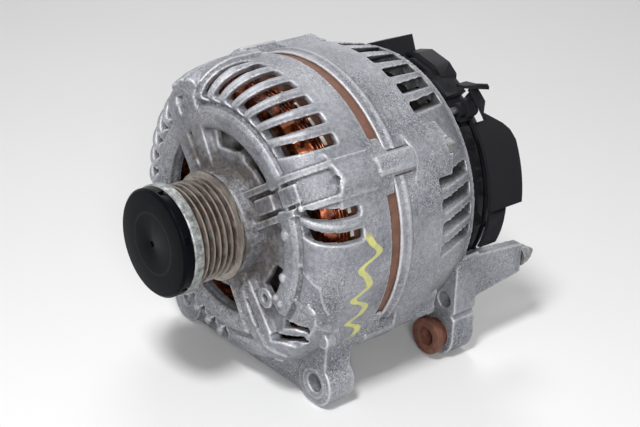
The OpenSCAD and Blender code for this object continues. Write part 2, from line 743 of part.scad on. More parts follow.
// One pole piece, at the front; way is 1 when its claws point to the rear
module claw_pole(y, way, turn) {
    reach = yoke_len + 2 * pole_plate_t - 3;
    root_half = (rotor_r - claw_t) * sin(116 / claw_count);
    tip_half = (rotor_r - claw_t) * sin(54 / claw_count);
    near = way > 0 ? y : y - pole_plate_t;
    intersection() {
        tube(rotor_r, shaft_core_r + press_gap, min(y, y + way * reach), max(y, y + way * reach));
        union() {
            tube(coil_r - 4, 1, near, near + pole_plate_t);
            for (i = [0 : claw_count - 1]) around(turn + i * 360 / claw_count) {
                block([shaft_core_r + 2, near, -root_half], [rotor_r + 1, near + pole_plate_t, root_half]);
                intersection() {
                    translate([rotor_r - claw_t, 0, 0]) rotate([0, 90, 0]) rotate([0, 0, 90])
                        linear_extrude(claw_t + 1) polygon([
                            [y, -root_half], [y, root_half],
                            [y + way * pole_plate_t, root_half], [y + way * reach, tip_half],
                            [y + way * reach, -tip_half], [y + way * pole_plate_t, -root_half]]);
                    tube(rotor_r, rotor_r - claw_t, y - far, y + far);
                }
            }
        }
    }
}

module claw_pole_front()
    color([0.35, 0.33, 0.32]) claw_pole(pole_front_y, 1, 0);

module claw_pole_rear()
    color([0.35, 0.33, 0.32]) claw_pole(pole_rear_y, -1, 180 / claw_count);

// A fan: a disc on the pole piece and slanted blades
module fan(disc_y, way, h) {
    y1 = disc_y + way * fan_disc_t;
    tip = y1 + way * h;
    difference() {
        union() {
            tube(fan_r - 9, shaft_core_r + press_gap, min(disc_y, y1), max(disc_y, y1));
            for (i = [0 : fan_blades - 1]) around(i * 360 / fan_blades) {
                translate([fan_r - 20, 0, 0]) rotate([0, 24, 0])
                    block([0, min(disc_y, tip), -0.8], [17, max(disc_y, tip), 0.8]);
                translate([fan_r - 20, 0, 0]) rotate([0, 24, 0])
                    block([0, min(disc_y, y1), -6], [17, max(disc_y, y1), 0.8]);
            }
        }
        tube(far, fan_r, disc_y - 40, disc_y + 40);
    }
}

module front_fan()
    color([0.3, 0.3, 0.32]) fan(pole_front_y - press_gap, -1, front_fan_h - fan_disc_t);

module rear_fan()
    color([0.3, 0.3, 0.32]) fan(pole_rear_y + press_gap, 1, rear_fan_h - fan_disc_t);

// ---------------------------------------------------------------- slip rings and brushes

ring_sleeve_r = slip_ring_r - 1.4;

module slip_ring_sleeve()
    color([0.12, 0.1, 0.1]) difference() {
        turned() polygon([
            [shaft_tail_r + press_gap, rear_bearing_end + 3], [slip_ring_r + 0.6, rear_bearing_end + 3],
            [slip_ring_r + 0.6, slip_front_y - slip_ring_w / 2 - 1],
            [slip_ring_r + 0.6, slip_front_y - slip_ring_w / 2 - press_gap],
            [ring_sleeve_r, slip_front_y - slip_ring_w / 2 - press_gap],
            [ring_sleeve_r, shaft_end_y - 1], [shaft_tail_r + press_gap, shaft_end_y - 1]]);
    }

module slip_rings()
    color([0.72, 0.45, 0.25]) for (y = [slip_front_y, slip_rear_y])
        tube(slip_ring_r, ring_sleeve_r + press_gap, y - slip_ring_w / 2, y + slip_ring_w / 2);

// Brushes press on the slip rings from the regulator's side
module brush_at(y)
    around(regulator_angle) difference() {
        block([0, y - brush_w / 2, -brush_d / 2], [slip_ring_r + brush_len, y + brush_w / 2, brush_d / 2]);
        rod(slip_ring_r + run_gap, y - brush_w, y + brush_w);
    }

module front_brush() color([0.12, 0.12, 0.13]) brush_at(slip_front_y);
module rear_brush() color([0.12, 0.12, 0.13]) brush_at(slip_rear_y);

brush_top = slip_ring_r + brush_len;
spring_len = spring_flat + brush_travel;    // its length with the brush on its ring
spring_top = brush_top + spring_len;

// A brush spring as a thin sleeve of its own outer size
module brush_spring_at(y)
    around(regulator_angle) translate([brush_top + press_gap, y, 0]) rotate([0, 90, 0]) difference() {
        cylinder(r = brush_w / 2 - 0.3, h = spring_len - 2 * press_gap, $fn = 32);
        translate([0, 0, -1]) cylinder(r = brush_w / 2 - 0.8, h = spring_len + 2, $fn = 32);
    }

module front_brush_spring() color([0.7, 0.7, 0.72]) brush_spring_at(slip_front_y);
module rear_brush_spring() color([0.7, 0.7, 0.72]) brush_spring_at(slip_rear_y);

holder_in = slip_ring_r + 2;
holder_half_z = brush_d / 2 + 1.8;
holder_front_y = slip_front_y - slip_ring_gap / 2 - 0.6;
holder_rear_y = slip_rear_y + slip_ring_gap / 2 + 0.6;

module brush_holder()
    color([0.1, 0.1, 0.11]) around(regulator_angle) difference() {
        block([holder_in, holder_front_y, -holder_half_z], [spring_top + 1.8, holder_rear_y, holder_half_z]);
        for (y = [slip_front_y, slip_rear_y])
            block([holder_in - 1, y - brush_w / 2 - run_gap, -brush_d / 2 - run_gap],
                [spring_top, y + brush_w / 2 + run_gap, brush_d / 2 + run_gap]);
        rod(slip_ring_r + 2, holder_front_y - 1, holder_rear_y + 1);
    }

// ---------------------------------------------------------------- rear housing

module rear_shell()
    turned() polygon([
        [0, rear_lip_y], [body_r, rear_lip_y], [body_r, rear_lip_y + 4.4], [body_r + 1, rear_lip_y + 5],
        [body_r + 1, rear_lip_y + 6.6], [body_r, rear_lip_y + 7.2], [body_r, taper_y],
        [body_r - 1, taper_y + 7], [ring_out_r + 1.4, ring_y - 4], [ring_out_r, ring_y - 3.4],
        [ring_out_r, ring_y], [0, ring_y]]);

module rear_cavity() {
    rod(seat_r, rear_lip_y - 1, core_end);
    turned() polygon([[0, core_end - 1], [body_r - wall - 1, core_end - 1], [body_r - wall - 1, taper_y],
        [ring_in_r + 1, end_wall_y - 2], [ring_in_r - 1, end_wall_y], [sleeve_out_r + 5, end_wall_y],
        [sleeve_out_r + 5, rear_bearing_y - 2], [0, rear_bearing_y - 2]]);
    difference() {
        rod(ring_in_r, end_wall_end, ring_y + 1);
        for (a = cover_stud_angles) around(a) translate([cover_stud_circle, 0, 0])
            rod(stud_boss_r, end_wall_end - 1, ring_y + 2);
    }
    rod(sleeve_out_r + press_gap, rear_bearing_y, rear_bearing_end + 4);
    rod(rear_ball_ring + 2, rear_bearing_y - 4, rear_bearing_y + 1);
}

rear_slot_angles = concat(
    [for (i = [-1 : 2]) 1 + i * slot_pitch], [for (i = [0 : 6]) 49 + i * slot_pitch],
    [for (i = [0 : 7]) 134 + i * slot_pitch], [for (i = [0 : 7]) 228 + i * slot_pitch]);

lug_right = lug_x + lug_r;              // outer side of the right lugs
lug_web_top = -25;                      // where the rear lug's web meets the housing

module rear_lug_outline()
    union() {
        translate([lug_x, -lug_drop]) circle(lug_r);
        polygon([[lug_right, -lug_drop], [lug_right, -lug_drop + 12], [lug_right - 2.4, -lug_drop + 14],
            [lug_right, -lug_drop + 16], [lug_right, lug_web_top], [lug_right - 5, lug_web_top + 3],
            [ring_in_r - 8, lug_web_top + 3], polar(ring_in_r + 1, -40), polar(ring_in_r + 1, -62),
            [lug_x - lug_r + 2, -lug_drop - 2]]);
    }

module rear_housing() {
    arm_y = rear_lug_y + rear_lug_t;
    pocket_end = ring_y + 20;
    color([0.6, 0.6, 0.62]) difference() {
        union() {
            difference() {
                rear_shell();
                for (a = rear_slot_angles)
                    slab(taper_y + 1.5, ring_y - 4.4) slot_outline(a, rear_slot_w, ring_in_r + 1.5, 7);
                for (i = [0 : 3]) boss_room(i);
            }
            for (i = [0 : 3]) bolt_hump(bolt_angles[i], bolt_joint_y[i], bolt_seat_y + 3, boss_foot);
            slab(rear_lug_y, ring_y) rear_lug_outline();
            difference() {
                slab(ring_y - 1, rear_lug_y + rear_lug_t) rear_lug_outline();
                rod(ring_out_r, ring_y - 2, rear_lug_y + rear_lug_t + 1);
            }
            harness_arm(arm_y);
            tube(sleeve_out_r + 5, sleeve_out_r - 1, rear_bearing_y - 2, rear_bearing_end);
        }
        rear_cavity();
        // air inlets in the end wall
        for (i = [0 : 11]) slab(end_wall_y - 1, end_wall_end + 1) rotate(15 + i * 30)
            translate([sleeve_out_r + 8, -4]) square([22, 8]);
        for (i = [0 : 3]) around(bolt_angles[i]) translate([bolt_circle_r, 0, 0]) {
            rod(bolt_r + press_gap, bolt_joint_y[i] - 1, bolt_seat_y + 1);
            rod(bolt_head_r + 0.3, bolt_seat_y, pocket_end);
        }
        for (a = lead_angles) around(a) translate([lead_circle_r, 0, 0])
            rod(lead_r + 1, end_wall_y - 3, end_wall_end + 1);
        for (a = rectifier_screw_angles) around(a) translate([rectifier_screw_circle, 0, 0])
            rod(screw_r + press_gap, end_wall_y + 0.5, end_wall_end + 1);
        for (a = cover_stud_angles) around(a) translate([cover_stud_circle, 0, 0])
            rod(screw_r + press_gap, ring_y - 9, ring_y + 1);
        around(regulator_angle) for (z = regulator_screw_z) translate([regulator_screw_circle, 0, z])
            rod(screw_r + press_gap, end_wall_y + 0.5, end_wall_end + 1);
        translate([lug_x, 0, -lug_drop])
            rod(bush_r + run_gap, rear_lug_y - 1, rear_lug_y + rear_lug_t + 1);
        translate([arm_x, 0, arm_z])
            rod(arm_stud_r - thread_depth + press_gap, arm_y + arm_len - 10, arm_y + arm_len + 1);
    }
}

// Room in the rear housing for a front boss that reaches over the core
module boss_room(i)
    around(bolt_angles[i]) block([body_r - wall - 2, rear_lip_y - 1, -finger_half - body_gap],
        [body_r + 20, bolt_joint_y[i] + body_gap, finger_half + body_gap]);

arm_x = lug_right - arm_t / 2;
arm_z = -38.4;
arm_root_half = 13;
arm_tip_half = 8.6;

// The arm that carries the harness clip, behind the rear lug
module harness_arm(y) {
    translate([arm_x - arm_t / 2, 0, 0]) rotate([0, 90, 0]) rotate([0, 0, 90]) linear_extrude(arm_t)
        polygon([[y - 6, arm_z - arm_root_half], [y, arm_z - arm_root_half],
            [y + arm_len, arm_z - arm_tip_half], [y + arm_len, arm_z + arm_tip_half],
            [y - 6, arm_z + arm_root_half]]);
}

// Room left round the root of the arm and its web by the pieces under the cover
module arm_clearance()
    block([arm_x - arm_t / 2 - body_gap, ring_y - 1, arm_z - arm_root_half - body_gap],
        [far, cover_y + 1, lug_web_top + 3 + body_gap]);

module mounting_bush()
    color([0.4, 0.22, 0.15]) translate([lug_x, 0, -lug_drop]) {
        y0 = rear_lug_y - bush_proud;
        difference() {
            union() {
                rod(collar_r, y0, rear_lug_y - bush_travel - body_gap);
                rod(bush_r, y0 + 1, rear_lug_y + rear_lug_t - 1);
            }
            rod(mount_bore_r, y0 - 1, rear_lug_y + rear_lug_t + 1);
        }
    }

arm_end_y = rear_lug_y + rear_lug_t + arm_len;
arm_nut_end = arm_end_y + 6;

module arm_stud()
    color([0.6, 0.6, 0.6]) translate([arm_x, 0, arm_z]) {
        rod(arm_stud_r - thread_depth, arm_end_y - 9.5, arm_nut_end + 0.2);
        rod(arm_stud_r, arm_nut_end + 0.2, arm_end_y + 9);
        translate([0, arm_end_y + 9, 0]) rotate([-90, 0, 0]) cylinder(r1 = arm_stud_r, r2 = 1.2, h = 3);
    }

module arm_washer()
    color([0.65, 0.65, 0.65]) translate([arm_x, 0, arm_z])
        tube(6, arm_stud_r + press_gap, arm_end_y + press_gap, arm_end_y + 1.4);

module arm_nut()
    color([0.6, 0.6, 0.6]) translate([arm_x, 0, arm_z]) difference() {
        hex_bar(5.4, arm_end_y + 1.4 + press_gap, arm_nut_end);
        rod(arm_stud_r - thread_depth + press_gap, arm_end_y, arm_nut_end + 1);
    }

// ---------------------------------------------------------------- rectifier and terminals

screw_r = 2;
rectifier_screw_angles = [155, 245, 313];
rectifier_screw_circle = 56;
cover_stud_angles = [47, 190, 280];
cover_stud_circle = ring_in_r - 1;
stud_boss_r = 4.2;
plate_in_r = 24;
negative_y = end_wall_end + 3;
positive_y = negative_y + plate_t + 6;
terminal_y = positive_y + plate_t + 3;
terminal_t = 4;
plate_start = 122;                      // the plates leave the regulator's side free
plate_end = 438;

// A horseshoe plate between the two plate angles
module horseshoe(r_in, r_out, y0, y1)
    difference() {
        turned_part(plate_start, plate_end) translate([r_in, y0]) square([r_out - r_in, y1 - y0]);
        around(regulator_angle) block([0, y0 - 1, -regulator_half - 1], [far, y1 + 1, regulator_half + 1]);
    }

module stack_holes(extra)
    for (a = rectifier_screw_angles) around(a) translate([rectifier_screw_circle, 0, 0])
        rod(screw_r + extra, end_wall_y, terminal_y + 20);

negative_diode_r = 52.6;
positive_diode_r = 34;
diode_h = 8;

module negative_plate()
    color([0.7, 0.7, 0.7]) difference() {
        union() {
            horseshoe(plate_in_r, plate_out_r, negative_y, negative_y + plate_t);
            for (a = rectifier_screw_angles) around(a) translate([rectifier_screw_circle, 0, 0])
                rod(4.4, end_wall_end + press_gap, negative_y + 1);
        }
        stack_holes(press_gap);
        for (a = diode_angles) around(a) translate([negative_diode_r, 0, 0])
            rod(diode_r + press_gap, negative_y - 1, negative_y + plate_t + 1);
        for (a = cover_stud_angles) around(a) translate([cover_stud_circle, 0, 0])
            rod(stud_boss_r + 0.2, negative_y - 1, negative_y + plate_t + 1);
        for (a = lead_angles) around(a) translate([lead_circle_r, 0, 0])
            rod(lead_r + 1.4, negative_y - 1, negative_y + plate_t + 1);
    }

module positive_plate()
    color([0.72, 0.72, 0.72]) difference() {
        union() {
            horseshoe(plate_in_r, plate_out_r - 12, positive_y, positive_y + plate_t);
            for (a = rectifier_screw_angles) around(a) translate([rectifier_screw_circle, 0, 0])
                rod(5, negative_y + plate_t + press_gap, positive_y + plate_t);
            for (a = concat(rectifier_screw_angles, [stud_angle]))
                around(a) block([30, positive_y, -7], [plate_out_r - 4, positive_y + plate_t, 7]);
        }
        stack_holes(press_gap);
        for (a = diode_angles) around(a) {
            translate([positive_diode_r, 0, 0])
                rod(diode_r + press_gap, positive_y - 1, positive_y + plate_t + 1);
            translate([negative_diode_r, 0, 0])
                rod(diode_r + 0.6, positive_y - 7, positive_y + plate_t + 1);
        }
        around(stud_angle) translate([stud_circle, 0, 0])
            rod(stud_r + press_gap, positive_y - 1, positive_y + plate_t + 1);
    }

module diode_set(circle_r, y, h)
    for (a = diode_angles) around(a) translate([circle_r, 0, 0]) {
        rod(diode_r, y, y + h);
        rod(0.7, y + h - 1, terminal_y - press_gap);
    }

module negative_diodes()
    color([0.55, 0.52, 0.45]) diode_set(negative_diode_r, negative_y, diode_h);

module positive_diodes()
    color([0.55, 0.52, 0.45]) diode_set(positive_diode_r, positive_y - 2, plate_t + 4);

skirt_angles = [-35, 38.5];             // where the ring shows beside the shield

module terminal_ring()
    color([0.07, 0.07, 0.07]) difference() {
        union() {
            horseshoe(plate_in_r + 5, cover_r - cover_t - body_gap, terminal_y, terminal_y + terminal_t);
            turned_part(skirt_angles[0], skirt_angles[1]) polygon([
                [plate_out_r + 0.6, ring_y + 5], [plate_out_r + 2, ring_y + 0.8], [ring_in_r + 1.6, ring_y + 0.8],
                [ring_in_r + 1.6, ring_y + 6], [ring_in_r - 0.4, ring_y + 7.6], [ring_in_r - 1.4, terminal_y + 2.4],
                [plate_out_r + 0.6, terminal_y + 2.4]]);
            // lumps on the skirt
            for (a = [-24, -6, 16, 31]) around(a) translate([ring_in_r - 1.2, 0, 0])
                rod(4.4, ring_y + 0.8, ring_y + 8.4);
            for (a = rectifier_screw_angles) around(a) translate([rectifier_screw_circle, 0, 0])
                rod(5, positive_y + plate_t + press_gap, terminal_y + 1);
        }
        stack_holes(press_gap);
        for (a = lead_angles) around(a) translate([lead_circle_r, 0, 0])
            rod(lead_r + 0.4, ring_y - 1, terminal_y);
        around(stud_angle) translate([stud_circle, 0, 0]) rod(stud_r + 3, terminal_y - 1, terminal_y + 20);
        for (a = cover_stud_angles) around(a) translate([cover_stud_circle, 0, 0])
            rod(stud_boss_r + 1.2 + body_gap, terminal_y - 1, terminal_y + terminal_t + 1);
        arm_clearance();
    }

module rectifier_screws()
    color([0.7, 0.7, 0.7]) for (a = rectifier_screw_angles) around(a)
        translate([rectifier_screw_circle, 0, 0]) {
            rod(screw_r, end_wall_y + 1, terminal_y + terminal_t + 0.1);
            rod(4, terminal_y + terminal_t + press_gap, terminal_y + terminal_t + 2.6);
        }

stud_circle = 47;

module output_stud()
    color([0.7, 0.66, 0.5]) around(stud_angle) translate([stud_circle, 0, 0]) {
        rod(stud_r - thread_depth, positive_y - 2, output_nut_end + 0.2);
        rod(stud_r, output_nut_end + 0.2, cover_y + stud_out);
        hex_bar(6.4, positive_y - 5, positive_y - press_gap);
    }

insulator_t = 2.5;
output_nut_end = cover_y + insulator_t + 7;

module output_insulator()
    color([0.1, 0.1, 0.1]) around(stud_angle) translate([stud_circle, 0, 0]) difference() {
        union() {
            rod(8.4, cover_y + press_gap, cover_y + insulator_t);
            rod(stud_r + 2.2, positive_y + plate_t + press_gap, cover_y + 1);
        }
        rod(stud_r + press_gap, positive_y, cover_y + 20);
    }

module output_washer()
    color([0.7, 0.7, 0.7]) around(stud_angle) translate([stud_circle, 0, 0])
        tube(7.6, stud_r + press_gap, cover_y + insulator_t + press_gap, cover_y + insulator_t + 1.4);

module output_nut()
    color([0.65, 0.65, 0.65]) around(stud_angle) translate([stud_circle, 0, 0]) difference() {
        hex_bar(7.2, cover_y + insulator_t + 1.4 + press_gap, output_nut_end);
        rod(stud_r - thread_depth + press_gap, cover_y, cover_y + 20);
    }

// ---------------------------------------------------------------- regulator

regulator_half = 17;                    // half the regulator's width
regulator_top = 62;                     // its outer side, from the shaft
regulator_y1 = cover_y;
regulator_screw_circle = 52;
regulator_screw_z = [-13, 13];
connector_angle = 112;                  // the connector leans to the left
connector_low = 57;
connector_high = 70.5;
connector_right = -23.5;                // its closed right side, and its open left side
connector_left = -1.5;
connector_back = 5;                     // thickness of the wall that holds the pins
connector_wall = 1.8;
connector_y0 = ring_y + 1.5;
connector_y1 = connector_y0 + 20.5;
connector_mid = (connector_low + connector_high) / 2;
pin_r = 0.9;
pin_len = 8;
pin_places = [for (i = [-1 : 1]) (connector_y0 + connector_y1) / 2 + 5 * i];

module connector_hole(grow)
    around(connector_angle) for (y = pin_places)
        translate([connector_mid, y, connector_right + 1]) cylinder(r = pin_r + grow,
            h = connector_back - 1 + (grow < 0 ? pin_len : 1), $fn = 24);

module regulator()
    color([0.08, 0.08, 0.09]) difference() {
        union() {
            around(regulator_angle) {
                block([holder_in + 14, holder_front_y - 2, -regulator_half],
                    [regulator_top, regulator_y1, regulator_half]);
                for (z = regulator_screw_z) translate([regulator_screw_circle, 0, z])
                    rod(screw_r + 2, end_wall_end + press_gap, holder_front_y - 1);
            }
            around(connector_angle) block([connector_low, connector_y0, connector_right],
                [connector_high, connector_y1, connector_left]);
        }
        around(regulator_angle) {
            block([holder_in, holder_front_y - press_gap, -holder_half_z - press_gap],
                [spring_top + 1.8 + press_gap, holder_rear_y + press_gap, holder_half_z + press_gap]);
            for (z = regulator_screw_z) translate([regulator_screw_circle, 0, z])
                rod(screw_r + press_gap, end_wall_end - 1, regulator_y1 + 1);
        }
        around(connector_angle) block([connector_low + connector_wall, connector_y0 + connector_wall,
            connector_right + connector_back],
            [connector_high - connector_wall, connector_y1 - connector_wall, connector_left + 1]);
        connector_hole(press_gap);
    }

module regulator_screws()
    color([0.7, 0.7, 0.7]) around(regulator_angle) for (z = regulator_screw_z)
        translate([regulator_screw_circle, 0, z]) {
        rod(screw_r, end_wall_y + 1, regulator_y1);
        rod(3.8, regulator_y1 + press_gap, regulator_y1 + 2.4);
    }

module connector_pins()
    color([0.8, 0.7, 0.4]) connector_hole(-press_gap);

// ---------------------------------------------------------------- rear cover

shield_y0 = ring_y + 8;
shield_angles = [0.5, 37.5];            // the deep part of the shield
shield_corner = [10.6, 5.5, 2, 0.6];       // its upper corner is cut off in steps
band_low = -40;                         // the band below it curls inwards to this angle
band_curl = 9;                          // by this much
fin_z = 58.6;                           // a small fin at the strip's end
strip_high = 52;                        // the narrow strip above it ends at this angle
open_angles = [-38, 41];                // the cover's open side
brow_top = [[1.5, 67.2], [10.6, 69.4], [24, 65.9], [29.8, 61]];  // the raised part beside the connector

// The shield's lower band, as an outline seen along the shaft
module band_outline()
    polygon(concat(
        [for (i = [0 : 10]) polar(shield_r - 0.4 - band_curl * i * i / 100,
            shield_angles[0] + 2 + (band_low - shield_angles[0] - 2) * i / 10)],
        [for (i = [10 : -1 : 0]) polar(shield_r - 0.3 - cover_t - band_curl * i * i / 100,
            shield_angles[0] + 2 + (band_low - shield_angles[0] - 2) * i / 10)]));

module rear_cover() {
    front_edge = terminal_y - 2;
    rib_y = cover_y - 5.5;
    color([0.06, 0.06, 0.07]) difference() {
        union() {
            difference() {
                turned() polygon([
                    [cover_r - cover_t, front_edge], [cover_r, front_edge], [cover_r, cover_y - 6],
                    [cover_r - 2, cover_y - 2], [cover_r - 6, cover_y], [0, cover_y],
                    [0, cover_y - cover_t], [cover_r - 6.6, cover_y - cover_t],
                    [cover_r - cover_t - 1.6, cover_y - 3.4], [cover_r - cover_t, cover_y - 7]]);
                turned_part(open_angles[0], open_angles[1]) translate([cover_r - cover_t - 2, front_edge - 1])
                    square([cover_t + 4, cover_y - 7.2 - front_edge + 1]);
            }
            // the shield, its strip and its band
            difference() {
                turned_part(shield_angles[0], strip_high) translate([shield_r - cover_t, shield_y0])
                    square([cover_t, shield_end_y - shield_y0]);
                around(shield_angles[1]) block([50, shield_y0 - 1, 0], [far, shield_y0 + 8, 50]);
                for (i = [0 : 3]) around(shield_angles[1] - 3.2 * i)
                    block([50, shield_end_y - shield_corner[i], 0], [far, shield_end_y + 1, 50 + i]);
            }
            slab(shield_y0 + 0.3, shield_y0 + 12) band_outline();
            // ribs between the shield and the cover's body
            for (a = [-30, -12, 4, 20, 34]) turned_part(a - 1.2, a + 1.2)
                translate([cover_r - 1.6, rib_y])
                    square([shield_r - 1 - (a < 0 ? band_curl * pow(a / band_low, 2) : 0) - cover_r + 1.6, 2.6]);
            turned_part(strip_high - 3.4, strip_high - 0.5) translate([cover_r - 1, rib_y])
                square([shield_r - cover_r, 2.6]);
            // a fin at the strip's end
            translate([0, 0, fin_z]) linear_extrude(1.6) polygon([[40, 141], [44, 141.5], [53.2, 151.6], [49.5, 154.2],
                [45.5, 149.6], [40, 148]]);
            // the brow beside the connector, and its lower end
            slab(shield_y0 + 4, cover_y - 0.4) polygon(concat(brow_top, [[30, 56], [20, 60], [8, 63.4], [1.5, 63.4]]));
            slab(front_edge, cover_y - 1.2) polygon([[3, 63.4], [3, 64.4], [10.6, 66.8], [23, 63.6], [27.4, 60],
                [29, 56], [20, 59.6], [8, 62.8]]);
            turned_part(54, 66) polygon([[cover_r - 1, front_edge],
                [cover_r + 1.4, front_edge - 2.6], [cover_r + 2.4, front_edge - 2], [cover_r + 3, front_edge + 3],
                [cover_r + 2.4, cover_y - 2.4], [cover_r - 1, cover_y - 4]]);
            for (a = cover_stud_angles) around(a) translate([cover_stud_circle, 0, 0]) {
                rod(stud_boss_r - 0.4, front_edge + 0.4, cover_y - 3.7);
                rod(stud_boss_r + 1.2, front_edge + 4.6, cover_y - 2.9);
            }
        }
        for (a = cover_stud_angles) around(a) translate([cover_stud_circle, 0, 0])
            rod(screw_r + press_gap, front_edge - 2, cover_y - 3);
        // room for the regulator and its connector
        around(regulator_angle) block([holder_in, end_wall_end, -regulator_half - 0.6],
            [regulator_top + 0.6, cover_y + 4, regulator_half + 0.6]);
        around(connector_angle) block([connector_low - 0.6, end_wall_end, connector_right - 0.6],
            [far, cover_y + 4, -connector_right]);
        around(stud_angle) translate([stud_circle, 0, 0]) rod(stud_r + 2.3, cover_y - 10, cover_y + 1);
        arm_clearance();
        // louvres
        for (i = [0 : 7]) slab(cover_y - 5, cover_y + 1) rotate(215 + 17 * i)
            translate([24, -1.6]) square([16, 3.2]);
        for (i = [0 : 4]) slab(cover_y - 5, cover_y + 1) rotate(-6 + 14 * i)
            translate([34, -1.6]) square([18, 3.2]);
    }
}

module cover_studs()
    color([0.7, 0.7, 0.7]) for (a = cover_stud_angles) around(a) translate([cover_stud_circle, 0, 0]) {
        rod(screw_r, ring_y - 8.6, cover_y - 3.4);
        hex_bar(3.4, ring_y + press_gap, ring_y + 2.6);
    }

pulley_ring();
pulley_cap();
pulley_hub();
clutch_rollers();
rotor_shaft();
front_bearing_outer();
front_bearing_inner();
front_bearing_balls();
bearing_retainer();
retainer_screws();
front_housing();
through_bolts();
stator_core();
stator_winding();
slot_liners();
stator_leads();
rotor_core();
field_coil();
claw_pole_front();
claw_pole_rear();
front_fan();
rear_fan();
slip_rings();
slip_ring_sleeve();
rear_bearing_outer();
rear_bearing_inner();
rear_bearing_balls();
rear_bearing_sleeve();
rear_housing();
negative_plate();
positive_plate();
negative_diodes();
positive_diodes();
terminal_ring();
rectifier_screws();
regulator();
regulator_screws();
connector_pins();
brush_holder();
front_brush();
rear_brush();
front_brush_spring();
rear_brush_spring();
output_stud();
output_insulator();
output_washer();
output_nut();
rear_cover();
cover_studs();
mounting_bush();
arm_stud();
arm_washer();
arm_nut();
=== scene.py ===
# A used car alternator on a pale studio floor. Lengths are in metres; the shaft lies along +Y.
import json
import math
import random

import bpy
from mathutils import Matrix, Vector


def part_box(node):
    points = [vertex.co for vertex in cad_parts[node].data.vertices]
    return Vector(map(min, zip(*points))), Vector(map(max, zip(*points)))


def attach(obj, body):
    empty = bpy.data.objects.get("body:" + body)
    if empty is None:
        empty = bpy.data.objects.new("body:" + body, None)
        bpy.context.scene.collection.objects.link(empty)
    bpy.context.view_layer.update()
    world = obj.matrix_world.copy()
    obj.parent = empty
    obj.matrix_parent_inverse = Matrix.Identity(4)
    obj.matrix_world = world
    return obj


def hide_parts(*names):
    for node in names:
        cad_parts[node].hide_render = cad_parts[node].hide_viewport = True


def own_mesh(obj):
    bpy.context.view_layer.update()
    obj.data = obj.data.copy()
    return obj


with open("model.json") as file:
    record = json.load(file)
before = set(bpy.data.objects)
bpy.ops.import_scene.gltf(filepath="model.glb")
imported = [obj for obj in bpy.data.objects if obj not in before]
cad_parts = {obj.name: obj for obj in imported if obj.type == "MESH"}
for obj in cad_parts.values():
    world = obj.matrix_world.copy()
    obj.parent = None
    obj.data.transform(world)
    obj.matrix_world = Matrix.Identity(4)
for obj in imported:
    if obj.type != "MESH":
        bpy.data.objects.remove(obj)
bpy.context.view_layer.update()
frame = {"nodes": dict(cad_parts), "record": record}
nodes = frame["nodes"]
body_of = {n: b for b, names in frame["record"]["behaviour"]["bodies"].items() for n in names}
slot_of = {s["node"]: s["material_slot"] for s in frame["record"]["subparts"]}
MM = 0.001
ops = bpy.ops

# ---------------------------------------------------------------- camera

camera_data = bpy.data.cameras.new("camera")
camera = bpy.data.objects.new("camera", camera_data)
bpy.context.scene.collection.objects.link(camera)
camera_data.sensor_width = 36
camera_data.lens = 77.946
camera_data.clip_start, camera_data.clip_end = 0.05, 20
right = (0.640245, 0.767795, 0.024036)
up = (-0.334324, 0.250340, 0.908602)
back = (0.691602, -0.589764, 0.416971)
place = Matrix((right, up, back)).transposed().to_4x4()
place.translation = Vector((0.514481, -0.354428, 0.297167))
camera.matrix_world = place
bpy.context.scene.camera = camera

# ---------------------------------------------------------------- shader helpers


class Value:
    """A shader socket that takes part in sums and products."""

    def __init__(self, finish, socket):
        self.finish, self.socket = finish, socket

    def maths(self, operation, *others, clamp=False):
        inputs = dict(enumerate((self,) + others))
        return self.finish.node("ShaderNodeMath", {"operation": operation, "use_clamp": clamp}, inputs)

    def __add__(self, other): return self.maths("ADD", other)
    def __sub__(self, other): return self.maths("SUBTRACT", other)
    def __mul__(self, other): return self.maths("MULTIPLY", other)
    def __pow__(self, other): return self.maths("POWER", other)
    __radd__, __rmul__ = __add__, __mul__

    def __rsub__(self, other):
        return self.finish.node("ShaderNodeMath", {"operation": "SUBTRACT"}, {0: other, 1: self})

    def clamp(self): return self.maths("ADD", 0.0, clamp=True)
    def sine(self): return self.maths("SINE")

    def step(self, start, end):
        """0 at start, 1 at end, held outside them."""
        return self.finish.node("ShaderNodeMapRange", {"clamp": True},
                                {0: self, 1: start, 2: end, 3: 0.0, 4: 1.0})


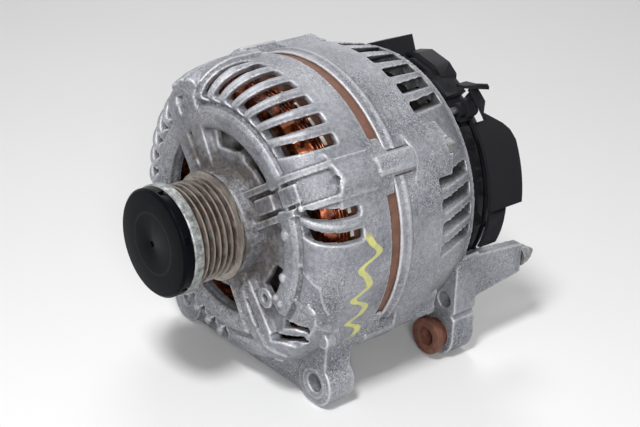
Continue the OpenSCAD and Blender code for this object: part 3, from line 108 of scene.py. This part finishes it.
class Finish:
    """One material, built round a Principled shader."""

    def __init__(self, name):
        self.material = bpy.data.materials.new(name)
        self.material.use_nodes = True
        self.tree = self.material.node_tree
        self.shader = self.tree.nodes["Principled BSDF"]
        self.place = self.node("ShaderNodeTexCoord", {}, {}, "Object")

    def node(self, kind, settings, inputs, output=0):
        made = self.tree.nodes.new(kind)
        for key, setting in settings.items():
            if key == "stops":
                for i, (at, colour) in enumerate(setting):
                    stop = made.color_ramp.elements[i] if i < 2 else made.color_ramp.elements.new(at)
                    stop.position, stop.color = at, (*colour, 1)
            else:
                setattr(made, key, setting)
        for key, given in inputs.items():
            self.put(made.inputs[key], given)
        return Value(self, made.outputs[output])

    def put(self, socket, given):
        if isinstance(given, Value):
            self.tree.links.new(given.socket, socket)
        elif isinstance(given, (tuple, list)) and len(given) == 3 and socket.type == "RGBA":
            socket.default_value = (*given, 1)
        else:
            socket.default_value = given

    def noise(self, size, detail=4.0, rough=0.55, stretch=None, shift=0.0):
        """Noise whose grains are about size metres across, stretched or moved if asked."""
        at = self.place
        if stretch or shift:
            at = self.node("ShaderNodeMapping", {}, {"Vector": at, "Scale": stretch or (1, 1, 1),
                                                     "Location": (shift,) * 3})
        return self.node("ShaderNodeTexNoise", {},
                         {"Vector": at, "Scale": 1 / size, "Detail": detail, "Roughness": rough})

    def mix(self, amount, a, b):
        return self.node("ShaderNodeMix", {"data_type": "RGBA"}, {0: amount, 6: a, 7: b}, 2)

    def ramp(self, value, *stops):
        return self.node("ShaderNodeValToRGB", {"stops": stops}, {0: value})

    def axes(self):
        """x, y and z, and the distance from the shaft's axis."""
        split = self.node("ShaderNodeSeparateXYZ", {}, {0: self.place})
        x, y, z = [Value(self, split.socket.node.outputs[i]) for i in range(3)]
        return x, y, z, (x * x + z * z) ** 0.5

    def edges(self):
        """Above 0.5 on sharp outer edges, below in hollows."""
        return self.node("ShaderNodeNewGeometry", {}, {}, "Pointiness")

    def done(self, bump=None, height=0.0, **sockets):
        """Fills the shader's sockets, with a bump of that height in metres."""
        if bump is not None:
            sockets["Normal"] = self.node("ShaderNodeBump", {},
                                          {"Height": bump, "Distance": height, "Strength": 1.0})
        for key, given in sockets.items():
            self.put(self.shader.inputs[key.replace("_", " ")], given)
        return self.material


# ---------------------------------------------------------------- finishes


def cast_aluminium():
    """Sand-cast metal with edges lighter from wear and a painted highlight, road dirt, painted shade with
    dirt in its hollows, rear slots darkened with painted shade and dust, and a stroke of marker paint.
    """
    dark_skin, skin, light_skin = (0.12, 0.126, 0.148), (0.27, 0.278, 0.310), (0.44, 0.448, 0.485)
    bright_grain, dark_grain, worn_edge_and_highlight = (0.74, 0.75, 0.79), (0.035, 0.034, 0.034), (0.74, 0.745, 0.77)
    dark_dirt_and_shade, light_dirt_and_shade, slot_shade_and_dust = (0.016, 0.012, 0.009), (0.085, 0.062, 0.043), (0.012, 0.011, 0.010)
    marker_yellow = (0.62, 0.60, 0.16)

    f = Finish("cast_aluminium")
    x, y, z, radius = f.axes()
    coarse, fine, flecks = f.noise(0.022, 6.0), f.noise(0.0012, 3.0), f.noise(0.0026, 6.0, 0.72)
    edge = f.edges()
    metal = f.ramp(coarse * 0.55 + flecks * 0.45, (0.37, dark_skin), (0.52, skin), (0.67, light_skin))
    # bright and dark grains of the skin, thick in some regions and thin in others
    sandy = f.noise(0.030, 3.0).step(0.42, 0.62) * 0.7 + 0.2
    bright = f.noise(0.0008, 3.0, 0.7).step(0.54, 0.67) * sandy * 0.9
    dark = f.noise(0.0011, 4.0, 0.75, shift=0.3).step(0.48, 0.37) * sandy * 0.95
    metal = f.mix(dark, f.mix(bright, metal, bright_grain), dark_grain)
    # lighter sharp outer edges: wear, and a painted highlight
    metal = f.mix(edge.step(0.508, 0.56) * 0.75, metal, worn_edge_and_highlight)
    # brown road dirt round the shaft and in patches, and painted shade, with dirt, in the hollows
    hollow_shade_and_dirt = edge.step(0.492, 0.43)
    near_nose = radius.step(0.056, 0.032) * y.step(0.058, 0.030)
    patch = f.noise(0.011, 9.0, 0.68)
    spread = patch.step(0.42, 0.60) * (0.25 + 0.85 * near_nose)
    dirt_and_hollow_shade = (hollow_shade_and_dirt * 0.85 + near_nose * 0.30 + spread).clamp()
    metal = f.mix(dirt_and_hollow_shade * 0.85, metal, f.ramp(flecks, (0.35, dark_dirt_and_shade), (0.7, light_dirt_and_shade)))
    # the insides of the rear slots are darkened nearly black: painted shade, with dust
    inside = radius.step(0.0745, 0.0715) * y.step(0.097, 0.100) * y.step(0.1255, 0.1235)
    metal = f.mix(inside * (0.55 + 0.35 * patch.step(0.35, 0.6)), metal, slot_shade_and_dust)
    # a wavy stroke of yellow marker paint beside the joint, worn through in places
    turn = z.maths("ARCTAN2", x)
    wander = (turn * 29.0).sine() * 0.0042 + (turn * 9.0).sine() * 0.0020 + (turn * 53.0).sine() * 0.0010
    off_line = (y - 0.0505 - 0.004 * turn - wander).maths("ABSOLUTE")
    within = turn.step(-0.64, -0.60) * turn.step(0.20, 0.15) * radius.step(0.0755, 0.0765)
    unworn = flecks.step(0.30, 0.42) * (0.65 + 0.35 * patch.step(0.4, 0.6))
    stroke = off_line.step(0.0024, 0.0018) * within * unworn
    metal = f.mix(stroke, metal, marker_yellow)
    shine = (0.42 - 0.30 * dirt_and_hollow_shade) * (1 - stroke)
    return f.done(fine * 0.5 + flecks * 0.8 + coarse * 0.5, 0.0005, Base_Color=metal,
                  Metallic=shine, Roughness=0.33 + 0.30 * dirt_and_hollow_shade + 0.16 * flecks)


def dusty_plastic(name, base, dust, rough):
    """Dull plastic with a film of dust on its edges and grains of it elsewhere."""
    f = Finish(name)
    wear, fine = f.noise(0.02, 7.0, 0.6), f.noise(0.0007, 3.0)
    edge = f.edges()
    grains = f.noise(0.0016, 6.0, 0.8).step(0.58, 0.72) * wear.step(0.42, 0.7)
    film = (wear.step(0.5, 0.85) * 0.12 + edge.step(0.515, 0.58) * 0.2 + grains * 0.4) * dust
    colour = f.mix(film.clamp(), base, (0.055, 0.056, 0.062))
    return f.done(fine + wear * 0.6, 0.00014, Base_Color=colour, Roughness=rough + 0.22 * wear,
                  Specular_IOR_Level=0.07)


def cap_plastic():
    """The pulley's cap: smooth black plastic, scratched and dusted, with a faint moulded ring."""
    f = Finish("black_cap")
    x, y, z, radius = f.axes()
    scratch = f.noise(0.0016, 6.0, 0.7, stretch=(1, 0.05, 0.25))
    dust = f.noise(0.0012, 8.0, 0.8).step(0.60, 0.74) * f.noise(0.012, 4.0).step(0.42, 0.75)
    ring = radius.step(0.0150, 0.0156) * radius.step(0.0166, 0.0160)
    colour = f.mix((dust * 0.5 + ring * 0.10).clamp(), (0.0012, 0.0016, 0.003), (0.09, 0.10, 0.12))
    return f.done(scratch * 0.6 + dust, 0.00005, Base_Color=colour,
                  Roughness=0.24 + 0.3 * dust + 0.10 * scratch, Specular_IOR_Level=0.05)


def belt_steel():
    """The pulley: steel polished by the belt, brown in its grooves from stain with painted shade deeper in
    them, with zinc on its front rim.
    """
    dark_steel, light_steel, ridge_steel = (0.06, 0.050, 0.042), (0.46, 0.42, 0.38), (0.36, 0.32, 0.29)
    dark_brown, light_brown = (0.010, 0.006, 0.004), (0.075, 0.038, 0.022)
    dark_zinc, light_zinc = (0.12, 0.125, 0.12), (0.46, 0.485, 0.475)

    f = Finish("belt_steel")
    x, y, z, radius = f.axes()
    streak = f.noise(0.0009, 5.0, 0.6, stretch=(0.12, 1, 0.12))
    patch = f.noise(0.006, 6.0, 0.65)
    deep = radius.step(0.0256, 0.0236)
    steel = f.ramp(streak, (0.38, dark_steel), (0.62, light_steel))
    brown = f.ramp(patch, (0.38, dark_brown), (0.62, light_brown))
    grooved = y.step(-0.0120, -0.0105) * y.step(0.0120, 0.0112)
    # brown stain in the grooves, and painted shade that darkens them towards their bottoms
    stain_and_groove_shade = (grooved * (0.20 + 0.80 * deep) + patch.step(0.48, 0.68) * 0.4).clamp()
    colour = f.mix(stain_and_groove_shade * 0.95, steel, brown)
    colour = f.mix(grooved * radius.step(0.0252, 0.0257) * 0.55, colour, ridge_steel)
    zinc = f.ramp(f.noise(0.003, 7.0, 0.7), (0.35, dark_zinc), (0.65, light_zinc))
    colour = f.mix(y.step(-0.0108, -0.0122), colour, zinc)
    return f.done(streak + patch * 0.5, 0.00018, Base_Color=colour, Metallic=0.85 - 0.65 * stain_and_groove_shade,
                  Roughness=0.27 + 0.3 * patch)


def plated(name, light, dark, rough):
    """Plated or bare bright metal, patchy from light to dark."""
    f = Finish(name)
    patch, fine = f.noise(0.004, 6.0, 0.65), f.noise(0.0007, 3.0)
    colour = f.ramp(patch, (0.3, dark), (0.68, light))
    return f.done(fine * 0.6 + patch, 0.0001, Base_Color=colour, Metallic=0.95,
                  Roughness=rough + 0.22 * patch)


def rusty(name, light, dark, metallic):
    """Iron from bare to rusted, with paler edges."""
    f = Finish(name)
    patch, fine = f.noise(0.005, 8.0, 0.7), f.noise(0.0008, 4.0)
    colour = f.ramp(patch * 0.7 + fine * 0.3, (0.34, dark), (0.64, light))
    colour = f.mix(f.edges().step(0.51, 0.58) * 0.4, colour, (0.20, 0.14, 0.11))
    return f.done(fine + patch, 0.0003, Base_Color=colour, Metallic=metallic, Roughness=0.5 + 0.15 * fine,
                  Specular_IOR_Level=0.2)


def copper_wire():
    """Varnished copper, dark where the varnish has burnt."""
    burnt, brown, bright = (0.03, 0.007, 0.004), (0.20, 0.045, 0.016), (0.66, 0.20, 0.07)
    f = Finish("copper_wire")
    patch = f.noise(0.004, 5.0)
    colour = f.ramp(patch, (0.36, burnt), (0.52, brown), (0.70, bright))
    return f.done(f.noise(0.001, 3.0), 0.00005, Base_Color=colour, Metallic=0.85,
                  Roughness=0.2 + 0.15 * patch, Coat_Weight=0.6)


def slot_paper():
    """The slots' insulating paper, slightly browned."""
    f = Finish("slot_paper")
    patch = f.noise(0.002, 6.0)
    colour = f.ramp(patch, (0.3, (0.62, 0.58, 0.48)), (0.6, (0.86, 0.85, 0.80)))
    return f.done(patch, 0.0001, Base_Color=colour, Roughness=0.7 + 0.1 * patch)


def pale_floor():
    f = Finish("pale_floor")
    tone = f.ramp(f.noise(0.3, 3.0), (0.0, (0.80, 0.80, 0.80)), (1.0, (0.84, 0.84, 0.84)))
    return f.done(Base_Color=tone, Roughness=0.6)


looks = {
    "cast_aluminium": cast_aluminium(),
    "belt_steel": belt_steel(),
    "zinc_steel": plated("zinc_steel", light=(0.40, 0.40, 0.41), dark=(0.14, 0.135, 0.13), rough=0.3),
    "bearing_steel": plated("bearing_steel", light=(0.80, 0.80, 0.82), dark=(0.55, 0.54, 0.53), rough=0.12),
    "yellow_zinc": plated("yellow_zinc", light=(0.72, 0.63, 0.36), dark=(0.40, 0.33, 0.17), rough=0.3),
    "core_rust": rusty("core_rust", light=(0.25, 0.090, 0.055), dark=(0.035, 0.014, 0.010), metallic=0.2),
    "iron": rusty("iron", light=(0.16, 0.15, 0.145), dark=(0.05, 0.045, 0.042), metallic=0.7),
    "copper": copper_wire(),
    "paper": slot_paper(),
    "black_plastic": dusty_plastic("black_plastic", (0.004, 0.004, 0.0055), dust=0.7, rough=0.33),
    "cap_plastic": cap_plastic(),
    "carbon": dusty_plastic("carbon", (0.03, 0.03, 0.032), dust=0.3, rough=0.5),
    "diode_metal": plated("diode_metal", light=(0.62, 0.60, 0.55), dark=(0.34, 0.32, 0.29), rough=0.3),
    "plate_metal": plated("plate_metal", light=(0.70, 0.70, 0.70), dark=(0.42, 0.42, 0.42), rough=0.35),
}

for name, node in nodes.items():
    for place_in_list in node.material_slots:
        place_in_list.material = looks[slot_of[name]]


def paint(piece, material):
    piece.data.materials.clear()
    piece.data.materials.append(material)


# ---------------------------------------------------------------- modelling helpers


def only(*pieces):
    """Selects these pieces alone, with the first one active."""
    ops.object.select_all(action="DESELECT")
    for piece in pieces:
        piece.select_set(True)
    bpy.context.view_layer.objects.active = pieces[0]


def edit(piece, step):
    """Runs an edit-mode step on the whole of a piece."""
    only(piece)
    ops.object.mode_set(mode="EDIT")
    ops.mesh.select_all(action="SELECT")
    step()
    ops.object.mode_set(mode="OBJECT")


def finished(piece, kind, **settings):
    """Adds a modifier and applies it."""
    only(piece)
    made = piece.modifiers.new(kind.lower(), kind)
    for key, setting in settings.items():
        setattr(made, key, setting)
    ops.object.modifier_apply(modifier=made.name)


def smooth(piece):
    only(piece)
    ops.object.shade_smooth()


def copied(node, name):
    """A CAD node's mesh as a new piece, with its loose triangles merged."""
    only(nodes[node])
    ops.object.duplicate()
    piece = bpy.context.object
    piece.name = piece.data.name = name
    edit(piece, lambda: ops.mesh.remove_doubles(threshold=1e-6))
    return piece


def settle(piece, body, slot, *replaced):
    """Puts a finished piece's place in its mesh and hands it to its body."""
    only(piece)
    ops.object.transform_apply(location=True, rotation=True, scale=True)
    if not piece.data.materials or piece.data.materials[0] is not looks[slot]:
        paint(piece, looks[slot])
    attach(piece, body)
    if replaced:
        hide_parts(*replaced)


def joined(name, pieces):
    only(*pieces)
    if len(pieces) > 1:
        ops.object.join()
    piece = bpy.context.object
    piece.name = piece.data.name = name
    return piece


def turn_about_shaft(degrees):
    """A turn round the shaft, from +X towards +Z."""
    return Matrix.Rotation(-math.radians(degrees), 4, "Y")


def around_shaft(piece, degrees):
    """A copy of a piece, turned round the shaft."""
    only(piece)
    ops.object.duplicate()
    twin = bpy.context.object
    twin.matrix_world = turn_about_shaft(degrees) @ twin.matrix_world
    ops.object.transform_apply(location=True, rotation=True, scale=True)
    return twin


def on_shaft(angle, r, y):
    """The place at an angle round the shaft, r from its axis and y along it, in millimetres."""
    a = math.radians(angle)
    return Vector((r * math.cos(a) * MM, y * MM, r * math.sin(a) * MM))


# ---------------------------------------------------------------- castings

SLOT_STEP = 9.0                   # degrees from one front slot to the next
BODY_R = 78                       # the front casting's outside, in millimetres
RIB_R = 2.0                       # the rounded back of a rib between slots, in millimetres
CORNER_Y = 0.040                  # where the front casting's nose turns into its side
LUG_X, LUG_Z = 0.056, -0.0734     # the right lug's hole
LUG_FACE = 56, -64                # x, z of a place on the right lug's front face, in millimetres
INSERT_R, INSERT_EDGE = 7.8, 0.9  # the ring where the right lug's steel insert ends, in millimetres
MOST_TRIANGLES = 198000           # in one casting
# first rib, in degrees from +X towards +Z, and number of ribs in each group of front slots
RIB_GROUPS = (46.2, 6), (10.7, 1), (134, 7), (228, 4)
# y and depth below the skin of a rib's points on the casting's side, in millimetres
RIB_SIDE = (41, -1.1), (43.5, -1.3), (46, -1.7), (49, -2.4)
# x, z pairs, radius and lift of the two ridges down the lower right arm and the edge of the other arm
RIDGES = (([(8.5, -32), (19, -49), (31, -61), (43, -62.5)], 1.3, 0.0),
          ([(18, -28), (27, -45), (37, -54), (48, -57)], 1.3, 0.0),
          ([(59, -1), (66, -5), (71, -10), (71, -26)], 1.1, -0.3))
# x, z, radius and stretch of a bright pad and of lumps of metal round the tapped boss
LUMPS = ((64, -22.5, 5.0, (1.6, 0.3, 0.55)), (50, -11, 2.6, (1, 0.8, 1)), (45, -24, 2.2, (1, 0.8, 1)),
         (48, -26, 2.2, (1, 0.8, 1)), (51, 12, 3.0, (1, 0.6, 1)), (62, 30, 1.8, (1, 1, 1)))
# y and outer radius along the swelling that runs from the upper arm back to the top bolt
SWELLING = (19, 75.5), (24, 77.8), (32, 79.6), (42, 80.9), (52, 81.8), (60, 82.4)
# angle, radius and depth of the swelling's middle and its two flanks
SWELLING_PARTS = (116, 5.0, 0.0), (111, 4.0, 0.9), (122, 4.0, 0.9)


def front_point(node, x, z, out=0.0):
    """The first point of a node that a line along +Y meets at x, z, in millimetres."""
    hit, place = nodes[node].ray_cast(Vector((x * MM, -0.1, z * MM)), Vector((0, 1, 0)))[:2]
    return place - Vector((0, out * MM, 0)) if hit else None


def side_point(node, angle, y, out):
    """The outermost point of a node at an angle round the shaft and a y, in millimetres."""
    a = math.radians(angle)
    way = Vector((math.cos(a), 0, math.sin(a)))
    hit, place = nodes[node].ray_cast(way * 0.13 + Vector((0, y * MM, 0)), -way)[:2]
    return place + way * out * MM if hit else None


def front_path(node, stops, out, step=1.5):
    """Points on a node's front along a path of x, z pairs, about step apart, in millimetres."""
    points = []
    for (x0, z0), (x1, z1) in zip(stops, stops[1:]):
        count = max(1, int(math.hypot(x1 - x0, z1 - z0) / step))
        points += [front_point(node, x0 + (x1 - x0) * i / count, z0 + (z1 - z0) * i / count, out)
                   for i in range(count)]
    points.append(front_point(node, *stops[-1], out))
    return [p for p in points if p is not None]


def rib_path(node, angle, inner=64.5, sweep=6, sink=-1.0, parts=14, drawn=13):
    """The back of the rib beside a slot, from its inner end outwards and round onto the side."""
    middle = angle + SLOT_STEP / 2
    a0, a1 = math.radians(angle + sweep + SLOT_STEP / 2), math.radians(middle)
    x0, z0 = inner * math.cos(a0), inner * math.sin(a0)
    x1, z1 = BODY_R * math.cos(a1), BODY_R * math.sin(a1)
    points = []
    for i in range(drawn):
        t = i / parts
        place = front_point(node, x0 + (x1 - x0) * t, z0 + (z1 - z0) * t, sink)
        if place is not None and place.y < CORNER_Y:
            points.append(place)
    side = [side_point(node, middle, y, out) for y, out in RIB_SIDE]
    return points + [p for p in side if p is not None]


def welt(points, radius):
    """A raised round ridge through points, its radius in millimetres."""
    ops.curve.primitive_bezier_curve_add()
    path = bpy.context.object
    path.data.splines.clear()
    spline = path.data.splines.new("POLY")
    spline.points.add(len(points) - 1)
    for point, place in zip(spline.points, points):
        point.co = (*place, 1)
    path.data.dimensions, path.data.use_fill_caps = "3D", True
    path.data.bevel_depth, path.data.bevel_resolution = radius * MM, 2
    ops.object.convert(target="MESH")
    return bpy.context.object


def lump(place, radius, stretch):
    ops.mesh.primitive_ico_sphere_add(subdivisions=3, radius=radius * MM, location=place)
    bpy.context.object.scale = stretch
    ops.object.transform_apply(location=True, rotation=True, scale=True)
    return bpy.context.object


def front_extras():
    """What the front casting has beyond its CAD node's plain shape."""
    node = "front_housing"
    lug_face = front_point(node, *LUG_FACE).y
    made = []
    for first, count in RIB_GROUPS:
        for i in range(count):
            points = rib_path(node, first + SLOT_STEP * i)
            if len(points) > 3:
                made.append(welt(points, RIB_R))
    for stops, radius, out in RIDGES:
        points = front_path(node, stops, out)
        if len(points) > 1:
            made.append(welt(points, radius))
    for x, z, radius, stretch in LUMPS:
        place = front_point(node, x, z)
        if place is not None:
            made.append(lump(place, radius, stretch))
    ops.mesh.primitive_torus_add(major_radius=INSERT_R * MM, minor_radius=INSERT_EDGE * MM,
                                 major_segments=64, minor_segments=12, rotation=(math.pi / 2, 0, 0),
                                 location=(LUG_X, lug_face + 0.0001, LUG_Z))
    made.append(bpy.context.object)
    for angle, radius, sunk in SWELLING_PARTS:
        made.append(welt([on_shaft(angle, r - radius - sunk, y) for y, r in SWELLING], radius))
    return made


def casting(node, extras, voxel):
    """A casting as one smooth skin over its CAD node and its extras, with voxel in millimetres."""
    piece = copied(node, node + "_cast")
    if extras:
        piece = joined(node + "_cast", [piece] + extras)
    finished(piece, "REMESH", mode="VOXEL", voxel_size=voxel * MM, use_smooth_shade=True)
    finished(piece, "SMOOTH", factor=0.6, iterations=2)
    count = sum(len(p.vertices) - 2 for p in piece.data.polygons)
    if count > MOST_TRIANGLES:
        finished(piece, "DECIMATE", ratio=MOST_TRIANGLES / count)
    edit(piece, lambda: ops.mesh.normals_make_consistent(inside=False))
    smooth(piece)
    settle(piece, body_of[node], slot_of[node], node)


casting("front_housing", front_extras(), 0.7)
casting("rear_housing", [], 0.75)

# ---------------------------------------------------------------- brush springs


def coil(node):
    """A brush's spring, wound from wire; the real one shortens as its brush goes back."""
    low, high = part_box(node)
    wire, turns, per_turn = 0.28 * MM, 9, 16
    radius = (high[0] - low[0]) / 2 - wire
    x, y = (low[0] + high[0]) / 2, (low[1] + high[1]) / 2
    rise, steps = high[2] - low[2] - 2 * wire, turns * per_turn
    points = []
    for i in range(steps + 1):
        a, z = math.tau * i / per_turn, low[2] + wire + rise * i / steps
        points.append((x + radius * math.cos(a), y + radius * math.sin(a), z))
    piece = joined(node + "_coil", [welt(points, wire / MM)])
    smooth(piece)
    settle(piece, body_of[node], slot_of[node], node)
    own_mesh(piece)


coil("front_brush_spring")
coil("rear_brush_spring")

# ---------------------------------------------------------------- rounded edges

SHARP = math.radians(40)          # edges that turn more than this are rounded
FLAT = math.radians(0.5)          # edges that turn less than this are dissolved
BLOCK = 12 * MM                   # side of a block that trims the shield
SHIELD_R = 74                     # where the blocks stand, out from the shaft's axis, in millimetres
# angle round the shaft, distance short of the cover's end and slope of each block's trimming face
TRIMS = (37.5, 10.6, 50.6), (34.3, 5.5, 39.9), (31.1, 2.0, 18.5)
# pieces with rounded edges, and the rounding's width in millimetres
ROUNDED = {"rear_cover": 0.5, "regulator": 0.6, "terminal_ring": 0.5, "mounting_bush": 0.6,
           "through_bolts": 0.25, "arm_nut": 0.2, "arm_washer": 0.15, "cover_studs": 0.2,
           "pulley_cap": 0.25, "output_nut": 0.3, "output_insulator": 0.3}


def shield_cutters(end_y):
    """Three blocks that trim the steps of the shield's upper corner to a rounded line."""
    blocks = []
    for angle, short, slope in TRIMS:
        ops.mesh.primitive_cube_add(size=BLOCK)
        block = bpy.context.object
        block.matrix_world = (turn_about_shaft(angle) @
                              Matrix.Translation((SHIELD_R * MM, end_y - short * MM, 0)) @
                              Matrix.Rotation(math.radians(slope), 4, "X") @
                              Matrix.Translation((0, BLOCK / 2, 0)))
        blocks.append(block)
    return blocks


def softened(node, width):
    """A CAD node with its sharp edges rounded."""
    piece = copied(node, node + "_soft")
    if node == "rear_cover":
        for block in shield_cutters(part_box(node)[1][1]):
            finished(piece, "BOOLEAN", object=block, operation="DIFFERENCE", solver="EXACT")
            bpy.data.objects.remove(block)
    edit(piece, lambda: ops.mesh.dissolve_limited(angle_limit=FLAT))
    finished(piece, "BEVEL", width=width * MM, segments=2, limit_method="ANGLE", angle_limit=SHARP)
    finished(piece, "TRIANGULATE")
    only(piece)
    ops.object.shade_smooth_by_angle(angle=SHARP)
    settle(piece, body_of[node], slot_of[node], node)


for node, width in ROUNDED.items():
    softened(node, width)

# ---------------------------------------------------------------- windings

CORE_SLOTS = 36
BUNDLE_KINDS = 4                  # differently bent bundles, used in turn
HALF_SPAN = 15                    # degrees from a bundle's middle to the slots that hold its ends
HELD = 12                         # degrees from a bundle's middle past which its wires don't wander
SLOT_R, WIRE_PITCH = 57.5, 1.15   # the innermost wire in a slot and the step to the next, in millimetres
WIRE_R = 0.00062
FILLER_DEPTH = 0.0011             # how far the filler lies below the CAD winding's skin
OUTER_WIRE_R = 69.6               # the wires' middles stay within this radius, in millimetres
# how far from the axis, and how far past the core, each wire of a bundle has its crest
CRESTS = ((69.2, 4.5), (69.4, 6.6), (69.3, 8.8), (69.3, 11.0), (68.6, 13.2), (67.0, 15.0),
          (64.6, 15.9), (62.0, 16.1), (59.6, 16.0))


def bundle(core_y, way, seed):
    """One hairpin of wires that leaves a core slot and comes back three slots further round."""
    rng = random.Random(seed)
    ops.curve.primitive_nurbs_path_add()
    path = bpy.context.object
    path.name = "wire_bundle"
    data = path.data
    data.splines.clear()
    data.dimensions, data.bevel_depth, data.bevel_resolution, data.resolution_u = "3D", WIRE_R, 1, 3
    for k, (crest_r, crest_out) in enumerate(CRESTS):
        spline = data.splines.new("BEZIER")
        slot_r = SLOT_R + WIRE_PITCH * k
        bend_r, bend_out = (slot_r + 2 * crest_r) / 3, crest_out * 0.62
        stops = [(-HALF_SPAN, slot_r, -2.0), (-HALF_SPAN + 1.5, slot_r + 0.2, 2.0), (-9, bend_r, bend_out),
                 (0, crest_r, crest_out), (9, bend_r, bend_out), (HALF_SPAN - 1.5, slot_r + 0.2, 2.0),
                 (HALF_SPAN, slot_r, -2.0)]
        spline.bezier_points.add(len(stops) - 1)
        for point, (angle, r, out) in zip(spline.bezier_points, stops):
            # the slots hold the ends, and the rest lies loosely
            loose = 0.0 if abs(angle) > HELD else 1.0
            r, out = r + loose * rng.uniform(-0.5, 0.3), out + loose * rng.uniform(-0.7, 0.7)
            angle += loose * rng.uniform(-0.8, 0.8)
            point.co = on_shaft(angle, min(r, OUTER_WIRE_R), core_y + way * out)
            point.handle_left_type = point.handle_right_type = "AUTO"
    only(path)
    ops.object.convert(target="MESH")
    return bpy.context.object


def windings():
    """Bundles of wire over both ends of the core, and a filler inside them."""
    filler = copied("stator_winding", "winding_core")
    finished(filler, "DISPLACE", strength=-FILLER_DEPTH, mid_level=0)
    low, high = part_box("stator_core")
    for name, core_y, way in (("front_wires", low[1] / MM, -1), ("rear_wires", high[1] / MM, 1)):
        models = [bundle(core_y, way, 11 + 3 * i + way) for i in range(BUNDLE_KINDS)]
        loops = [around_shaft(models[i % BUNDLE_KINDS], i * 360 / CORE_SLOTS) for i in range(CORE_SLOTS)]
        for model in models:
            bpy.data.objects.remove(model)
        piece = joined(name, loops)
        smooth(piece)
        settle(piece, body_of["stator_winding"], "copper")
    settle(filler, body_of["stator_winding"], "copper", "stator_winding")


windings()

# ---------------------------------------------------------------- floor and light

FLOOR_GAP = 0.0002                # between the lugs and the floor
MIDDLE = Vector((0, 0.07, 0))     # of the housings, where the lamps point
SHEEN, FILL_LIGHT = 1.0, 0.16     # the surroundings as seen, and as a light on dull surfaces
floor_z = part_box("front_housing")[0][2] - FLOOR_GAP
ops.mesh.primitive_plane_add(size=8, location=(0, 0, floor_z))
floor = bpy.context.object
floor.name = "floor"
paint(floor, pale_floor())

# the surroundings look white to the camera and in reflections, and light the piece only a little
world = bpy.data.worlds.new("studio")
bpy.context.scene.world = world
world.use_nodes = True
tree = world.node_tree
rays = tree.nodes.new("ShaderNodeLightPath")
seen = rays.outputs["Is Camera Ray"]
for kind in ("Is Glossy Ray", "Is Transmission Ray"):
    either = tree.nodes.new("ShaderNodeMath")
    either.operation = "MAXIMUM"
    tree.links.new(seen, either.inputs[0])
    tree.links.new(rays.outputs[kind], either.inputs[1])
    seen = either.outputs[0]
level = tree.nodes.new("ShaderNodeMapRange")
level.inputs["To Min"].default_value = FILL_LIGHT
level.inputs["To Max"].default_value = SHEEN
tree.links.new(seen, level.inputs["Value"])
sky = tree.nodes["Background"]
sky.inputs["Color"].default_value = (1, 1, 1, 1)
tree.links.new(level.outputs[0], sky.inputs["Strength"])


def lamp(name, place, size, power):
    """A round lamp that points at the housings' middle."""
    data = bpy.data.lights.new(name, "AREA")
    data.shape, data.size, data.energy = "DISK", size, power
    light = bpy.data.objects.new(name, data)
    bpy.context.scene.collection.objects.link(light)
    light.location = place
    light.rotation_mode = "QUATERNION"
    light.rotation_quaternion = (MIDDLE - Vector(place)).to_track_quat("-Z", "Y")


lamp("key", (0.35, -0.50, 1.10), 0.28, 13)
lamp("fill", (1.05, -0.70, 0.55), 0.35, 10)
lamp("rim", (-0.7, 0.7, 0.9), 0.5, 3.5)

bpy.context.scene.view_settings.view_transform = "Standard"
